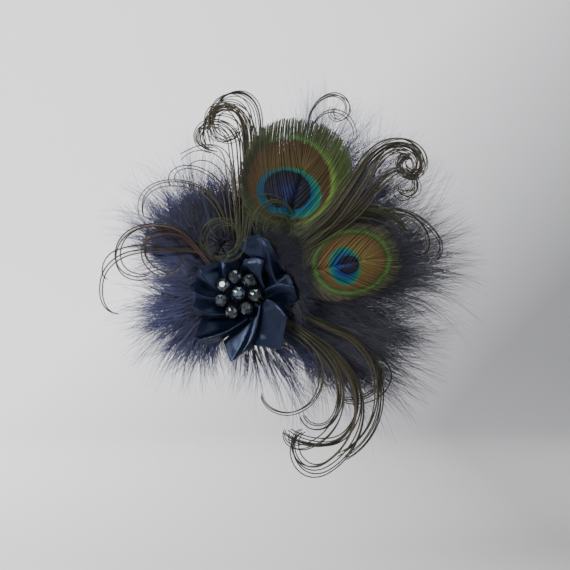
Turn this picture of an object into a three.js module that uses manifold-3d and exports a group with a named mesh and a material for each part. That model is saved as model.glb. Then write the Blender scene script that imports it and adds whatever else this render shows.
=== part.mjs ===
// A feather fascinator: a satin ribbon flower with faceted beads, two peacock eye feathers, curled
// peacock herl and marabou plumes, all fixed round a felt hub on a felt base with a hair comb behind.
// Millimetres, +Z up. The wearer's head is on the +Y side and the show side faces -Y. The origin is
// the middle of the felt base's back face. Depth is measured from that face towards the show side.

import * as THREE from "three";
import { mergeVertices } from "three/addons/utils/BufferGeometryUtils.js";
import Module from "manifold-3d";

const wasm = await Module();
wasm.setup();

// Gap that every piece keeps to its neighbour
const CLEARANCE = 0.3;

// Felt base with its raised hub
const BASE_RADIUS = 21;
const BASE_THICKNESS = 2;
const HUB_RADIUS = 8;

// Hair comb behind the base
const COMB_WIDTH = 36;
const COMB_SPINE_HEIGHT = 5;
const COMB_THICKNESS = 2.2;
const COMB_TOP = 15;
const TOOTH_COUNT = 9;
const TOOTH_WIDTH = 1.6;
const TOOTH_LENGTH = 34;
const TOOTH_SAG = 3;
const TOOTH_TAPER = 0.55;
const TOOTH_THICKNESS = 0.84;

// Marabou plumes. The knee is where a lock bends from its quill towards its tip.
const QUILL_RADIUS = 1.2;
const QUILL_BARE = 3;
const PLUME_LENGTH = 100;
const LOCK_WIDTH = 8.5;
const LOCK_THICKNESS = 6.4;
const LOCK_TIP = 0.8;
const LOCK_ROOT = 0.8;
const LOCK_OVERLAP = 1;
const KNEE_REACH = 0.5;
const KNEE_LEAN = 0.62;
const PLUME_LIFT = 0.6;
const BACK_ROW_SETBACK = 7.2;

// Curled peacock herl. HERL_LIFT is the depth that the locks' lies and tips are shares of.
const HERL_WIDTH = 1.6;
const HERL_THICKNESS = 1.3;
const HERL_TIP = 0.45;
const HERL_LENGTH = 100;
const HERL_LIFT = 10;
const FAN_START = 0.12;
const FAN_END = 0.35;

// The two peacock eyes. Each stem's length is how far from the middle its vane starts.
const STEM_RADIUS = 0.8;
const STEM_BOW = 0.75;
const STEM_IN_VANE = 0.12;
const EYE_THICKNESS = 1.2;
const EYE_STANDOFF = 1.5;
const LARGE_EYE_STEM = 37.8;
const LARGE_EYE_WIDTH = 50;
const LARGE_EYE_LENGTH = 56;
const SMALL_EYE_STEM = 35.6;
const SMALL_EYE_WIDTH = 33;
const SMALL_EYE_LENGTH = 46;
const VANE_BLUNTNESS = 0.04;
const VANE_EGG = 0.85;
const VANE_FULLNESS = 0.62;

// Satin flower
const PETAL_THICKNESS = 0.8;
const PETAL_LENGTH = 27;
const PETAL_WIDTH = 21;
const PETAL_RISE = 6;
const PETAL_ROOT_WIDTH = 4.6;
const PETAL_POINT = 0.4;
const PETAL_ROOT_CLIMB = 0.35;
const ROLL_START = 0.8;
const ROLL_DROP = 2.2;
const HEART_RADIUS = 7.4;
const HEART_HEIGHT = 5;

// Faceted beads
const BEAD_DIAMETER = 6.4;
const BEAD_THICKNESS = 5.6;
const BEAD_RING_RADIUS = 8;
const BEAD_SIDES = 10;
const BEAD_LIFT = 1.6;
const BEAD_SEAT = 0.72;
const BEAD_TABLE = 0.5;
const BEAD_GIRDLE = 0.25;

// How the feathers wrap round the head: flat out to WRAP_START, then bending back on WRAP_RADIUS
const WRAP_START = 30;
const WRAP_RADIUS = 230;

// Depths of the layers, from the back face of the base to the show side
const QUILL_DEPTH = BASE_THICKNESS + CLEARANCE + QUILL_RADIUS;
const PLUME_DEPTH = QUILL_DEPTH + PLUME_LIFT;
const HERL_ROOT_DEPTH = PLUME_DEPTH + LOCK_THICKNESS / 2 + CLEARANCE + HERL_THICKNESS;
const HUB_DEPTH = HERL_ROOT_DEPTH + HERL_THICKNESS;
const FLOWER_DEPTH = HUB_DEPTH + CLEARANCE;
const LARGE_EYE_DEPTH = FLOWER_DEPTH + EYE_STANDOFF;
const SMALL_EYE_DEPTH = LARGE_EYE_DEPTH + EYE_THICKNESS + CLEARANCE;
const ROOT_RADIUS = HUB_RADIUS + CLEARANCE;
const BEAD_DEPTH = FLOWER_DEPTH + HEART_HEIGHT * BEAD_SEAT + BEAD_DIAMETER / 2 + CLEARANCE;

// How finely the curved rods are built
const ROD_SIDES = 4;
const TURN_PER_STEP = 26;

const DEGREE = Math.PI / 180;
const FRONT = new THREE.Vector3(0, -1, 0);

const MATERIALS = {
  felt: new THREE.MeshStandardMaterial({ color: 0x15172a, roughness: 0.95 }),
  comb: new THREE.MeshStandardMaterial({ color: 0x111214, roughness: 0.35 }),
  marabou: new THREE.MeshStandardMaterial({ color: 0x2b2f4d, roughness: 0.9 }),
  eye: new THREE.MeshStandardMaterial({ color: 0x5a5a24, roughness: 0.5, metalness: 0.2 }),
  herl: new THREE.MeshStandardMaterial({ color: 0x3a3222, roughness: 0.55, metalness: 0.15 }),
  copper: new THREE.MeshStandardMaterial({ color: 0x4d3023, roughness: 0.5, metalness: 0.2 }),
  satin: new THREE.MeshStandardMaterial({ color: 0x10182a, roughness: 0.35 }),
  bead: new THREE.MeshStandardMaterial({ color: 0x08090c, roughness: 0.05, metalness: 0.6 }),
};

const group = new THREE.Group();

// A point of the model from its place across, its depth and its height.
function place(x, depth, z) {
  return new THREE.Vector3(x, -depth, z);
}

function polar(radius, degrees, depth) {
  return place(radius * Math.cos(degrees * DEGREE), depth, radius * Math.sin(degrees * DEGREE));
}

function ease(from, to, value) {
  return THREE.MathUtils.smoothstep(value, from, to);
}

// The bare closed mesh of a geometry, with only its positions left.
function bare(geometry) {
  const open = geometry.clone();
  open.deleteAttribute("normal");
  open.deleteAttribute("uv");
  return mergeVertices(open, 1e-4);
}

function toSolid(geometry) {
  const closed = bare(geometry);
  return new wasm.Manifold(
    new wasm.Mesh({
      numProp: 3,
      vertProperties: new Float32Array(closed.attributes.position.array),
      triVerts: new Uint32Array(closed.index.array),
    }),
  );
}

function fuse(geometries) {
  const solids = geometries.map(toSolid);
  const joined = solids.slice(1).reduce((sum, next) => sum.add(next), solids[0]);
  const mesh = joined.getMesh();
  const positions = new Float32Array(mesh.numVert * 3);
  for (let i = 0; i < mesh.numVert; i += 1) {
    const first = i * mesh.numProp;
    positions.set(mesh.vertProperties.subarray(first, first + 3), i * 3);
  }
  const geometry = new THREE.BufferGeometry();
  geometry.setAttribute("position", new THREE.BufferAttribute(positions, 3));
  geometry.setIndex(new THREE.BufferAttribute(new Uint32Array(mesh.triVerts), 1));
  return geometry;
}

// Bends what lies beyond WRAP_START back towards the head.
function wrap(geometry) {
  const p = geometry.attributes.position;
  for (let i = 0; i < p.count; i += 1) {
    const beyond = Math.max(0, Math.hypot(p.getX(i), p.getZ(i)) - WRAP_START);
    p.setY(i, p.getY(i) + beyond ** 2 / (2 * WRAP_RADIUS));
  }
  return geometry;
}

function addPiece(name, geometry, material) {
  const mesh = new THREE.Mesh(geometry, material);
  mesh.name = name;
  group.add(mesh);
}

// A closed rod along a path, with an elliptic section: width lies across the path, facing the viewer,
// and thickness lies in depth. sizeAt gives both as half sizes for a share of the path.
function rod(pathAt, sizeAt, sides, steps) {
  const geometry = new THREE.CylinderGeometry(1, 1, 1, sides, steps);
  const p = geometry.attributes.position;
  const step = 0.5 / steps;
  for (let i = 0; i < p.count; i += 1) {
    const share = p.getY(i) + 0.5;
    const centre = pathAt(share);
    const ahead = pathAt(Math.min(1, share + step)).sub(pathAt(Math.max(0, share - step)));
    const along = ahead.normalize();
    const across = along.clone().cross(FRONT).normalize();
    const outward = across.clone().cross(along);
    const [halfWidth, halfThickness] = sizeAt(share);
    centre.addScaledVector(across, p.getX(i) * halfWidth);
    centre.addScaledVector(outward, p.getZ(i) * halfThickness);
    p.setXYZ(i, centre.x, centre.y, centre.z);
  }
  return bare(geometry);
}

// A closed sheet: surfaceAt gives the middle surface for shares along and across.
function sheet(surfaceAt, thickness, steps, strips) {
  const geometry = new THREE.BoxGeometry(1, 1, 1, steps, strips, 1);
  const p = geometry.attributes.position;
  const nudge = 1e-3;
  for (let i = 0; i < p.count; i += 1) {
    const u = p.getX(i) + 0.5;
    const v = p.getY(i) + 0.5;
    const centre = surfaceAt(u, v);
    const alongU = surfaceAt(u + nudge, v).sub(surfaceAt(u - nudge, v));
    const alongV = surfaceAt(u, v + nudge).sub(surfaceAt(u, v - nudge));
    const normal = alongU.cross(alongV).normalize();
    centre.addScaledVector(normal, p.getZ(i) * thickness);
    p.setXYZ(i, centre.x, centre.y, centre.z);
  }
  return bare(geometry);
}

// A route in the show plane made of arcs. Each run is [share of the length, turn in degrees].
function arcRoute(start, heading, length, runs) {
  return (share) => {
    let x = start.x;
    let z = start.z;
    let angle = heading * DEGREE;
    let left = share;
    for (const [part, turn] of runs) {
      const used = Math.min(left, part);
      const bend = (turn * DEGREE * used) / part;
      const chord = Math.abs(bend) < 1e-6 ? used : (2 * part * Math.sin(bend / 2)) / (turn * DEGREE);
      x += chord * length * Math.cos(angle + bend / 2);
      z += chord * length * Math.sin(angle + bend / 2);
      angle += bend;
      left -= used;
      if (left <= 0) break;
    }
    return { x, z };
  };
}

// Felt base: a disc and the raised hub that the quills abut, in one piece.
function feltBase() {
  const profile = [
    [0, 0],
    [BASE_RADIUS, 0],
    [BASE_RADIUS, BASE_THICKNESS],
    [HUB_RADIUS, BASE_THICKNESS],
    [HUB_RADIUS, HUB_DEPTH],
    [0, HUB_DEPTH],
  ].map(([radius, depth]) => new THREE.Vector2(radius, depth));
  return new THREE.LatheGeometry(profile, 24).rotateX(Math.PI);
}

// Hair comb: a spine with teeth that curve along the head, in one piece.
function hairComb() {
  const middle = CLEARANCE + COMB_THICKNESS / 2;
  const spine = new THREE.BoxGeometry(COMB_WIDTH, COMB_THICKNESS, COMB_SPINE_HEIGHT);
  spine.translate(0, middle, COMB_TOP - COMB_SPINE_HEIGHT / 2);
  const pieces = [spine];
  const pitch = (COMB_WIDTH - TOOTH_WIDTH * 1.5) / (TOOTH_COUNT - 1);
  for (let i = 0; i < TOOTH_COUNT; i += 1) {
    const x = (i - (TOOTH_COUNT - 1) / 2) * pitch;
    const top = COMB_TOP - COMB_SPINE_HEIGHT / 2;
    const pathAt = (share) =>
      new THREE.Vector3(x, middle + TOOTH_SAG * share ** 2, top - TOOTH_LENGTH * share);
    const sizeAt = (share) => {
      const taper = 1 - TOOTH_TAPER * share ** 2;
      return [(TOOTH_WIDTH / 2) * taper, (COMB_THICKNESS / 2) * TOOTH_THICKNESS * taper];
    };
    pieces.push(rod(pathAt, sizeAt, ROD_SIDES, 3));
  }
  return fuse(pieces);
}

// Marabou plumes. angle is where the quill meets the hub and axis the way the plume points, from tip
// angles first to last. reach holds each lock's tip distance as a share of PLUME_LENGTH.
const PLUMES = [
  { name: "plume_upper_left", angle: 138, first: 98, last: 156, row: 0,
    reach: [0.66, 0.7, 0.78, 0.83, 0.8, 0.81, 0.79, 0.74] },
  { name: "plume_left", angle: 196, first: 170, last: 250, row: 0,
    reach: [0.6, 0.64, 0.68, 0.66, 0.66, 0.64, 0.62, 0.58, 0.56] },
  { name: "plume_lower", angle: 290, first: 264, last: 310, row: 0,
    reach: [0.5, 0.5, 0.56, 0.68, 0.8, 0.78] },
  { name: "plume_lower_right", angle: 334, first: 318, last: 357, row: 1,
    reach: [0.88, 0.98, 1.06, 1.09, 1.1, 1.09, 1.07, 1.04] },
  { name: "plume_right", angle: 6, first: 1, last: 22, row: 0,
    reach: [1.06, 1.16, 1.22, 1.21, 1.17] },
  { name: "plume_upper_right", angle: 30, first: 26, last: 39, row: 1,
    reach: [1.1, 1.18, 1.2, 1.16] },
  { name: "plume_top", angle: 58, first: 45, last: 66, row: 0,
    reach: [1.08, 1.12, 1.14, 1.12, 1.05] },
];

function plume(row) {
  const settle = PLUME_DEPTH - row.row * BACK_ROW_SETBACK;
  const root = polar(ROOT_RADIUS, row.angle, QUILL_DEPTH);
  const mouth = polar(BASE_RADIUS + QUILL_BARE, row.angle, QUILL_DEPTH);
  const quill = rod(
    (share) => root.clone().lerp(mouth, share),
    () => [QUILL_RADIUS, QUILL_RADIUS],
    ROD_SIDES,
    1,
  );
  const pieces = [quill];
  const last = row.reach.length - 1;
  row.reach.forEach((reach, i) => {
    const tipAngle = row.first + ((row.last - row.first) * i) / last;
    const lean = tipAngle - row.angle;
    const start = polar(BASE_RADIUS + QUILL_BARE - LOCK_OVERLAP, row.angle, QUILL_DEPTH);
    const knee = polar(PLUME_LENGTH * reach * KNEE_REACH, row.angle + lean * KNEE_LEAN, settle);
    const tip = polar(PLUME_LENGTH * reach, tipAngle, settle);
    const curve = new THREE.QuadraticBezierCurve3(start, knee, tip);
    const sizeAt = (share) => {
      const swell = Math.sin(Math.PI * share ** 0.85) ** 0.8;
      const floor = share < 0.5 ? QUILL_RADIUS * LOCK_ROOT : LOCK_TIP / 2;
      return [floor + (LOCK_WIDTH / 2 - floor) * swell, floor + (LOCK_THICKNESS / 2 - floor) * swell];
    };
    pieces.push(rod((share) => curve.getPoint(share), sizeAt, ROD_SIDES, 4));
  });
  return wrap(fuse(pieces));
}

// Curled herl. angle is where it meets the hub. Each lock starts there on its heading and follows its
// runs, which are arcs as [share of HERL_LENGTH, turn in degrees]. lie is how far in front of the roots
// it lies once it is clear of the flower, between the shares in rise, and tip is that at its end, both
// as shares of HERL_LIFT. width is a share of HERL_WIDTH.
const HERLS = {
  herl_crest: {
    angle: 85, material: "herl",
    locks: [
      { heading: 76, lie: 0.03, tip: 0.03, width: 1.2,
        runs: [[0.74, 14], [0.1, 16], [0.08, 38], [0.07, 42], [0.07, 38], [0.07, 30], [0.08, 22]] },
      { heading: 85, lie: 0.03, tip: 0.6, width: 1.7,
        runs: [[0.66, 6], [0.09, 14], [0.08, 26], [0.06, 40], [0.05, 50], [0.06, 44], [0.07, 30], [0.06, 45],
          [0.06, 60], [0.06, 60]] },
      { heading: 88, lie: 0.03, tip: 0.3, width: 1.2,
        runs: [[0.65, 8], [0.07, 30], [0.08, 40], [0.07, 45], [0.06, 50], [0.06, 55], [0.07, 50]] },
    ],
  },
  herl_brow_high: {
    angle: 97, material: "herl",
    locks: [
      { heading: 91, lie: 0.03, tip: 0.03, width: 1.1,
        runs: [[0.45, 7], [0.08, 22], [0.07, 24], [0.08, 35], [0.06, 35], [0.05, 25]] },
    ],
  },
  herl_brow_middle: {
    angle: 109, material: "herl",
    locks: [
      { heading: 93, lie: 0.03, tip: 0.2, width: 1,
        runs: [[0.38, 6], [0.09, 28], [0.09, 22], [0.07, 20], [0.06, 22], [0.05, 40], [0.04, 50],
          [0.03, 40]] },
    ],
  },
  herl_brow_low: {
    angle: 122, material: "herl",
    locks: [
      { heading: 94, lie: 0.03, tip: 0.2, width: 1,
        runs: [[0.22, 2], [0.15, 24], [0.15, 40], [0.14, 26], [0.06, 18], [0.06, 26], [0.05, 28], [0.04, 16],
          [0.04, 22]] },
    ],
  },
  herl_copper: {
    angle: 147, material: "copper",
    locks: [
      { heading: 126, lie: 0.3, tip: 0.3, width: 1.7,
        runs: [[0.28, 6], [0.12, 34], [0.14, 28], [0.07, 22], [0.14, 56], [0.12, 68], [0.06, 24],
          [0.04, 14]] },
      { heading: 124, lie: 0.3, tip: 0.8, width: 1.4,
        runs: [[0.28, 8], [0.06, 32], [0.14, 38], [0.05, 50], [0.1, 55], [0.06, 22], [0.06, 30], [0.06, 60],
          [0.06, 50]] },
      { heading: 126, lie: 0.3, tip: 0.3, width: 1,
        runs: [[0.14, 0], [0.1, 50], [0.26, 10], [0.1, 22], [0.08, 24], [0.08, 30], [0.06, 12], [0.06, 26],
          [0.05, 34], [0.04, 30]] },
    ],
  },
  herl_coil: {
    angle: 134, material: "herl", rise: [0.16, 0.38],
    locks: [
      { heading: 122, lie: 1.26, tip: 1.7, width: 1.1,
        runs: [[0.16, 0], [0.07, -32], [0.28, -180], [0.28, -180], [0.31, -180], [0.22, -150]] },
    ],
  },
  herl_scroll: {
    angle: 42, material: "herl", rise: [0.22, 0.34],
    locks: [
      { heading: 36, lie: 0.6, tip: 1.2, width: 4,
        runs: [[0.45, 4], [0.12, 14], [0.24, 4], [0.09, -14], [0.08, -24], [0.13, -62], [0.06, -40],
          [0.05, -40], [0.04, -45], [0.04, -48], [0.05, -50], [0.04, -55], [0.04, -60]] },
      { heading: 35, lie: 0.6, tip: 0.4, width: 1.8,
        runs: [[0.5, -3], [0.12, 15], [0.12, 5], [0.11, -8], [0.06, -22], [0.06, -42], [0.05, -38],
          [0.04, -32], [0.04, -45], [0.04, -45], [0.03, -45], [0.03, -50]] },
    ],
  },
  herl_cheek: {
    angle: 27, material: "herl",
    locks: [
      { heading: 31, lie: 0.06, tip: 0.1, width: 1.5,
        runs: [[0.25, 4], [0.36, -6], [0.17, -26], [0.15, -33], [0.14, -27], [0.04, -23],
          [0.05, -30], [0.04, -30]] },
      { heading: 31, lie: 0.06, tip: 0.4, width: 1,
        runs: [[0.25, 4], [0.36, -6], [0.17, -26], [0.15, -45], [0.1, -28], [0.05, -28],
          [0.06, -64], [0.07, -80]] },
    ],
  },
  herl_fall_outer: {
    angle: 351, material: "herl",
    locks: [
      { heading: -20, lie: 0.2, tip: 0.2, width: 1.4,
        runs: [[0.39, -6], [0.07, 3], [0.17, -31], [0.12, -23], [0.15, -21], [0.16, -26], [0.17, -30]] },
      { heading: -20, lie: 0.2, tip: -0.04, width: 1,
        runs: [[0.39, -6], [0.07, 3], [0.08, -16], [0.18, -8], [0.1, -70], [0.1, -38], [0.15, -45]] },
    ],
  },
  herl_fall_long: {
    angle: 337, material: "herl",
    locks: [
      { heading: -31, lie: 0.25, tip: 0.3, width: 1.5,
        runs: [[0.4, -4], [0.2, -24], [0.18, -36], [0.15, -37], [0.11, -44], [0.14, -25], [0.08, -16]] },
      { heading: -31, lie: 0.25, tip: 0.7, width: 1.7,
        runs: [[0.4, -4], [0.2, -24], [0.17, -30], [0.19, -32], [0.17, -30], [0.06, -31], [0.06, -39],
          [0.13, -58], [0.08, -60]] },
    ],
  },
  herl_fall_inner: {
    angle: 323, material: "herl", rise: [0.22, 0.34],
    locks: [
      { heading: -30, lie: 0.45, tip: 0.6, width: 1.1,
        runs: [[0.24, -2], [0.23, -18], [0.16, -34], [0.16, -38], [0.11, -72], [0.09, -66]] },
      { heading: -30, lie: 0.45, tip: 0.95, width: 1,
        runs: [[0.24, -2], [0.12, -6], [0.18, -26], [0.2, -38], [0.14, -30], [0.14, -34], [0.06, -40],
          [0.1, -100]] },
    ],
  },
  herl_fall_curl: {
    angle: 309, material: "herl", rise: [0.22, 0.34],
    locks: [
      { heading: -31, lie: 0.8, tip: 0.8, width: 1,
        runs: [[0.22, 0], [0.1, -7], [0.15, -36], [0.15, -46], [0.15, -48], [0.12, -50], [0.09, -46]] },
    ],
  },
};

function herlLock(start, rise, lock) {
  const { heading, lie, tip, width, runs } = lock;
  const reached = runs.reduce((sum, [share]) => sum + share, 0);
  const turned = runs.reduce((sum, [, turn]) => sum + Math.abs(turn), 0);
  const routeAt = arcRoute(start, heading, HERL_LENGTH, runs);
  const pathAt = (share) => {
    const along = share * reached;
    const { x, z } = routeAt(along);
    const ahead = lie * ease(rise[0], rise[1], along) + (tip - lie) * ease(rise[1], reached, along);
    return place(x, HERL_ROOT_DEPTH + HERL_LIFT * ahead, z);
  };
  const sizeAt = (share) => {
    const taper = 1 - (1 - HERL_TIP) * share ** 1.5;
    const fan = 1 + (width - 1) * ease(FAN_START, FAN_END, share);
    return [(HERL_WIDTH / 2) * fan * taper, (HERL_THICKNESS / 2) * taper];
  };
  return rod(pathAt, sizeAt, ROD_SIDES, Math.ceil(4 + turned / TURN_PER_STEP));
}

function herl({ angle, locks, rise = [0.22, 0.45] }) {
  const start = polar(ROOT_RADIUS, angle, HERL_ROOT_DEPTH);
  return wrap(fuse(locks.map((lock) => herlLock(start, rise, lock))));
}

// A peacock eye: the egg-shaped vane as a thin plate on its stem, with the loose flues that curl off it.
// angle is where the stem leaves the hub and bearing the way from the middle to the vane's base. from is
// the share of the vane's length where a flue leaves it.
function peacockEye({ angle, stem, bearing, heading, length, width, depth, curls }) {
  const root = polar(ROOT_RADIUS, angle, HERL_ROOT_DEPTH);
  const base = polar(stem, bearing, depth);
  const axis = heading * DEGREE;
  const vaneAt = (u, v) => {
    const share = VANE_BLUNTNESS + (1 - 2 * VANE_BLUNTNESS) * u;
    const half = (width / 2) * Math.sin(Math.PI * share ** VANE_EGG) ** VANE_FULLNESS;
    const side = (v - 0.5) * 2 * half;
    const x = base.x + length * u * Math.cos(axis) - side * Math.sin(axis);
    const z = base.z + length * u * Math.sin(axis) + side * Math.cos(axis);
    return place(x, depth, z);
  };
  const inside = place(
    base.x + length * STEM_IN_VANE * Math.cos(axis),
    depth,
    base.z + length * STEM_IN_VANE * Math.sin(axis),
  );
  const low = root.clone().lerp(place(base.x, HERL_ROOT_DEPTH, base.z), STEM_BOW);
  const bow = new THREE.CatmullRomCurve3([root, low, base, inside]);
  const shaft = rod((share) => bow.getPoint(share), () => [STEM_RADIUS, STEM_RADIUS], ROD_SIDES, 6);
  const pieces = [sheet(vaneAt, EYE_THICKNESS, 7, 3), shaft];
  for (const lock of curls) {
    const up = length * lock.from;
    const start = { x: base.x + up * Math.cos(axis), z: base.z + up * Math.sin(axis) };
    const lie = (depth - HERL_ROOT_DEPTH) / HERL_LIFT;
    pieces.push(herlLock(start, [-1, 0], { ...lock, lie }));
  }
  return wrap(fuse(pieces));
}

const EYES = {
  peacock_eye_large: {
    angle: 57, stem: LARGE_EYE_STEM, bearing: 52.5, heading: 79, length: LARGE_EYE_LENGTH,
    width: LARGE_EYE_WIDTH, depth: LARGE_EYE_DEPTH,
    curls: [
      { from: 0.9, heading: 60, tip: 0.65, width: 1,
        runs: [[0.06, 20], [0.09, -26], [0.09, -35], [0.07, -52], [0.07, -59], [0.07, -69], [0.06, -105],
          [0.04, -60]] },
      { from: 0.13, heading: 170, tip: 0.5, width: 1.1,
        runs: [[0.04, 10], [0.2, 180], [0.2, 170], [0.08, 60]] },
    ],
  },
  peacock_eye_small: {
    angle: 12, stem: SMALL_EYE_STEM, bearing: 17.2, heading: 12, length: SMALL_EYE_LENGTH,
    width: SMALL_EYE_WIDTH, depth: SMALL_EYE_DEPTH,
    curls: [],
  },
};

// Satin petals, counterclockwise from the top. root and tip are the ways each one points at the heart
// and at its end; reach and girth are shares of PETAL_LENGTH and PETAL_WIDTH.
const PETALS = [
  { root: 60, tip: 66, reach: 1.16, girth: 0.84 },
  { root: 98, tip: 106, reach: 0.76, girth: 0.8 },
  { root: 150, tip: 139, reach: 0.92, girth: 0.72 },
  { root: 184, tip: 171, reach: 0.97, girth: 0.76 },
  { root: 218, tip: 199, reach: 0.94, girth: 0.72 },
  { root: 252, tip: 230, reach: 1.15, girth: 0.76 },
  { root: 286, tip: 265, reach: 1.26, girth: 0.76 },
  { root: 322, tip: 309, reach: 1.26, girth: 1.24 },
  { root: -6, tip: 2, reach: 1.08, girth: 0.86 },
  { root: 26, tip: 34, reach: 0.96, girth: 0.95 },
];

// A petal: a bowl of ribbon that climbs from its low edge, under the neighbour clockwise, to a rolled
// edge on its counterclockwise side, with a pointed end.
function petal({ root, tip, reach, girth }) {
  const length = PETAL_LENGTH * reach;
  const start = HEART_RADIUS + CLEARANCE;
  const rootHalf = PETAL_ROOT_WIDTH / 2;
  const endHalf = (PETAL_WIDTH * girth) / 2;
  const surfaceAt = (u, v) => {
    const outward = (root + (tip - root) * u) * DEGREE;
    const point = 1 - PETAL_POINT * Math.abs(v - 0.5) ** 1.2;
    const radius = start + (length * point - start) * u;
    const half = rootHalf + (endHalf - rootHalf) * Math.max(0, u) ** 0.8;
    const roll = Math.max(0, v - ROLL_START) / (1 - ROLL_START);
    const side = (v - 0.5) * 2 * half;
    const growth = PETAL_ROOT_CLIMB + (1 - PETAL_ROOT_CLIMB) * u;
    const climb = PETAL_RISE * growth * Math.min(1, Math.max(0, v) / ROLL_START) ** 1.5;
    const depth = FLOWER_DEPTH + PETAL_THICKNESS + climb - ROLL_DROP * roll ** 2 * u + PETAL_THICKNESS * u;
    const x = radius * Math.cos(outward) - side * Math.sin(outward);
    const z = radius * Math.sin(outward) + side * Math.cos(outward);
    return place(x, depth, z);
  };
  return sheet(surfaceAt, PETAL_THICKNESS, 3, 6);
}

// The gathered heart of the flower, which carries the beads.
function flowerHeart() {
  const profile = [
    [0, 0],
    [HEART_RADIUS, 0],
    [HEART_RADIUS, HEART_HEIGHT * 0.35],
    [HEART_RADIUS * 0.8, HEART_HEIGHT * 0.75],
    [HEART_RADIUS * 0.4, HEART_HEIGHT],
    [0, HEART_HEIGHT],
  ].map(([radius, depth]) => new THREE.Vector2(radius, FLOWER_DEPTH + depth));
  return new THREE.LatheGeometry(profile, 20).rotateX(Math.PI);
}

// Beads, the middle one first. angle and reach place each one, reach as a share of BEAD_RING_RADIUS;
// tilt turns its table away from the show side and rise is its share of BEAD_LIFT.
const BEADS = [
  { angle: 0, reach: 0, tilt: 10, rise: 1 },
  { angle: 151, reach: 1.02, tilt: 18, rise: 0 },
  { angle: 102, reach: 1.02, tilt: 12, rise: 0.1 },
  { angle: 48, reach: 1.02, tilt: 24, rise: 0 },
  { angle: 353, reach: 1.01, tilt: 16, rise: 0.1 },
  { angle: 298, reach: 1.06, tilt: 28, rise: 0 },
  { angle: 251, reach: 1.22, tilt: 14, rise: 0.1 },
  { angle: 203, reach: 1.1, tilt: 20, rise: 0 },
];

// A faceted bead: two belts of facets and a table at each end.
function bead({ angle, reach, tilt, rise }) {
  const radius = BEAD_DIAMETER / 2;
  const half = BEAD_THICKNESS / 2;
  const profile = [
    [0, -half],
    [radius * BEAD_TABLE, -half],
    [radius, -half * BEAD_GIRDLE],
    [radius, half * BEAD_GIRDLE],
    [radius * BEAD_TABLE, half],
    [0, half],
  ].map(([across, along]) => new THREE.Vector2(across, along));
  const seat = polar(BEAD_RING_RADIUS * reach, angle, BEAD_DEPTH + BEAD_LIFT * rise);
  const geometry = new THREE.LatheGeometry(profile, BEAD_SIDES);
  geometry.rotateX(tilt * DEGREE);
  geometry.rotateY(angle * DEGREE);
  return geometry.translate(seat.x, seat.y, seat.z);
}

addPiece("felt_base", feltBase(), MATERIALS.felt);
addPiece("hair_comb", hairComb(), MATERIALS.comb);
for (const row of PLUMES) addPiece(row.name, plume(row), MATERIALS.marabou);
for (const [name, eye] of Object.entries(EYES)) addPiece(name, peacockEye(eye), MATERIALS.eye);
for (const [name, bunch] of Object.entries(HERLS)) {
  addPiece(name, herl(bunch), MATERIALS[bunch.material]);
}
addPiece("flower_heart", flowerHeart(), MATERIALS.satin);
PETALS.forEach((row, i) => addPiece(`petal_${i + 1}`, petal(row), MATERIALS.satin));
BEADS.forEach((row, i) => addPiece(`bead_${i + 1}`, bead(row), MATERIALS.bead));

export default group;
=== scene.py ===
"""Dresses a feather fascinator.

A gathered satin flower with faceted beads sits on a felt base with a comb behind it. Marabou plumes, two
peacock eyes and curled bundles of peacock herl fan out from under the flower. Sizes are in millimetres, +Z is
up, the show side faces -Y, and the origin is the middle of the felt base's back face. Depth is measured from
that face towards the show side.
"""

from __future__ import annotations

import logging
import math
from dataclasses import dataclass
from enum import Enum

import bpy
import numpy as np
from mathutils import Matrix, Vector

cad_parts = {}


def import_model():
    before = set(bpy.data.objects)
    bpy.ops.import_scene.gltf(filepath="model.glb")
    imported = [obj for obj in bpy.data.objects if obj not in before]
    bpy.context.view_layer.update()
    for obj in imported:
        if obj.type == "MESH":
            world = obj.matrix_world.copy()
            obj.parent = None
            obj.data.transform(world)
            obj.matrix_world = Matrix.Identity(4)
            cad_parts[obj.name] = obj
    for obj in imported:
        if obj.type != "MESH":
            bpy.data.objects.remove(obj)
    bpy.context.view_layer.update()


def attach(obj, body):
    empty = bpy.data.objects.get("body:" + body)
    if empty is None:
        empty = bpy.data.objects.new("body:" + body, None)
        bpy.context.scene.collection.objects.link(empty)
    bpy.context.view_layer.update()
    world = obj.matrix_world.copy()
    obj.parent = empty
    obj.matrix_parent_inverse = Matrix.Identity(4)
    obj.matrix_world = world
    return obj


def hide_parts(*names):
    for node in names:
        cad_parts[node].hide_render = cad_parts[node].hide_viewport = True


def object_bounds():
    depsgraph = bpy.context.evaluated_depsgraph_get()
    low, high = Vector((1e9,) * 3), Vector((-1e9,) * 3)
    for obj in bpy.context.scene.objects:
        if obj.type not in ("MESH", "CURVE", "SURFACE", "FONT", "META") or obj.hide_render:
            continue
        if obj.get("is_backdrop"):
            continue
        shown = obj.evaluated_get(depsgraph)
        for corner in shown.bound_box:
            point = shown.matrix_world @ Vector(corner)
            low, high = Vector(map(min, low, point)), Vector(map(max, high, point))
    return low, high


LOG = logging.getLogger("fascinator")

MM = 0.001
CM = 0.01
DEGREE = math.pi / 180
FRONT = np.array([0.0, -1.0, 0.0])

Socket = bpy.types.NodeSocket
Piece = bpy.types.Object
Mesh = bpy.types.Mesh
Material = bpy.types.Material
Rows = np.ndarray
Rng = np.random.Generator
Colour = tuple[float, float, float]
Pair = tuple[float, float]
Triple = tuple[float, float, float]
Stops = tuple[tuple[float, Colour], ...]

BLACK: Colour = (0.0, 0.0, 0.0)
WHITE: Colour = (1.0, 1.0, 1.0)


# Places and sizes that the model's frame gives


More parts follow.
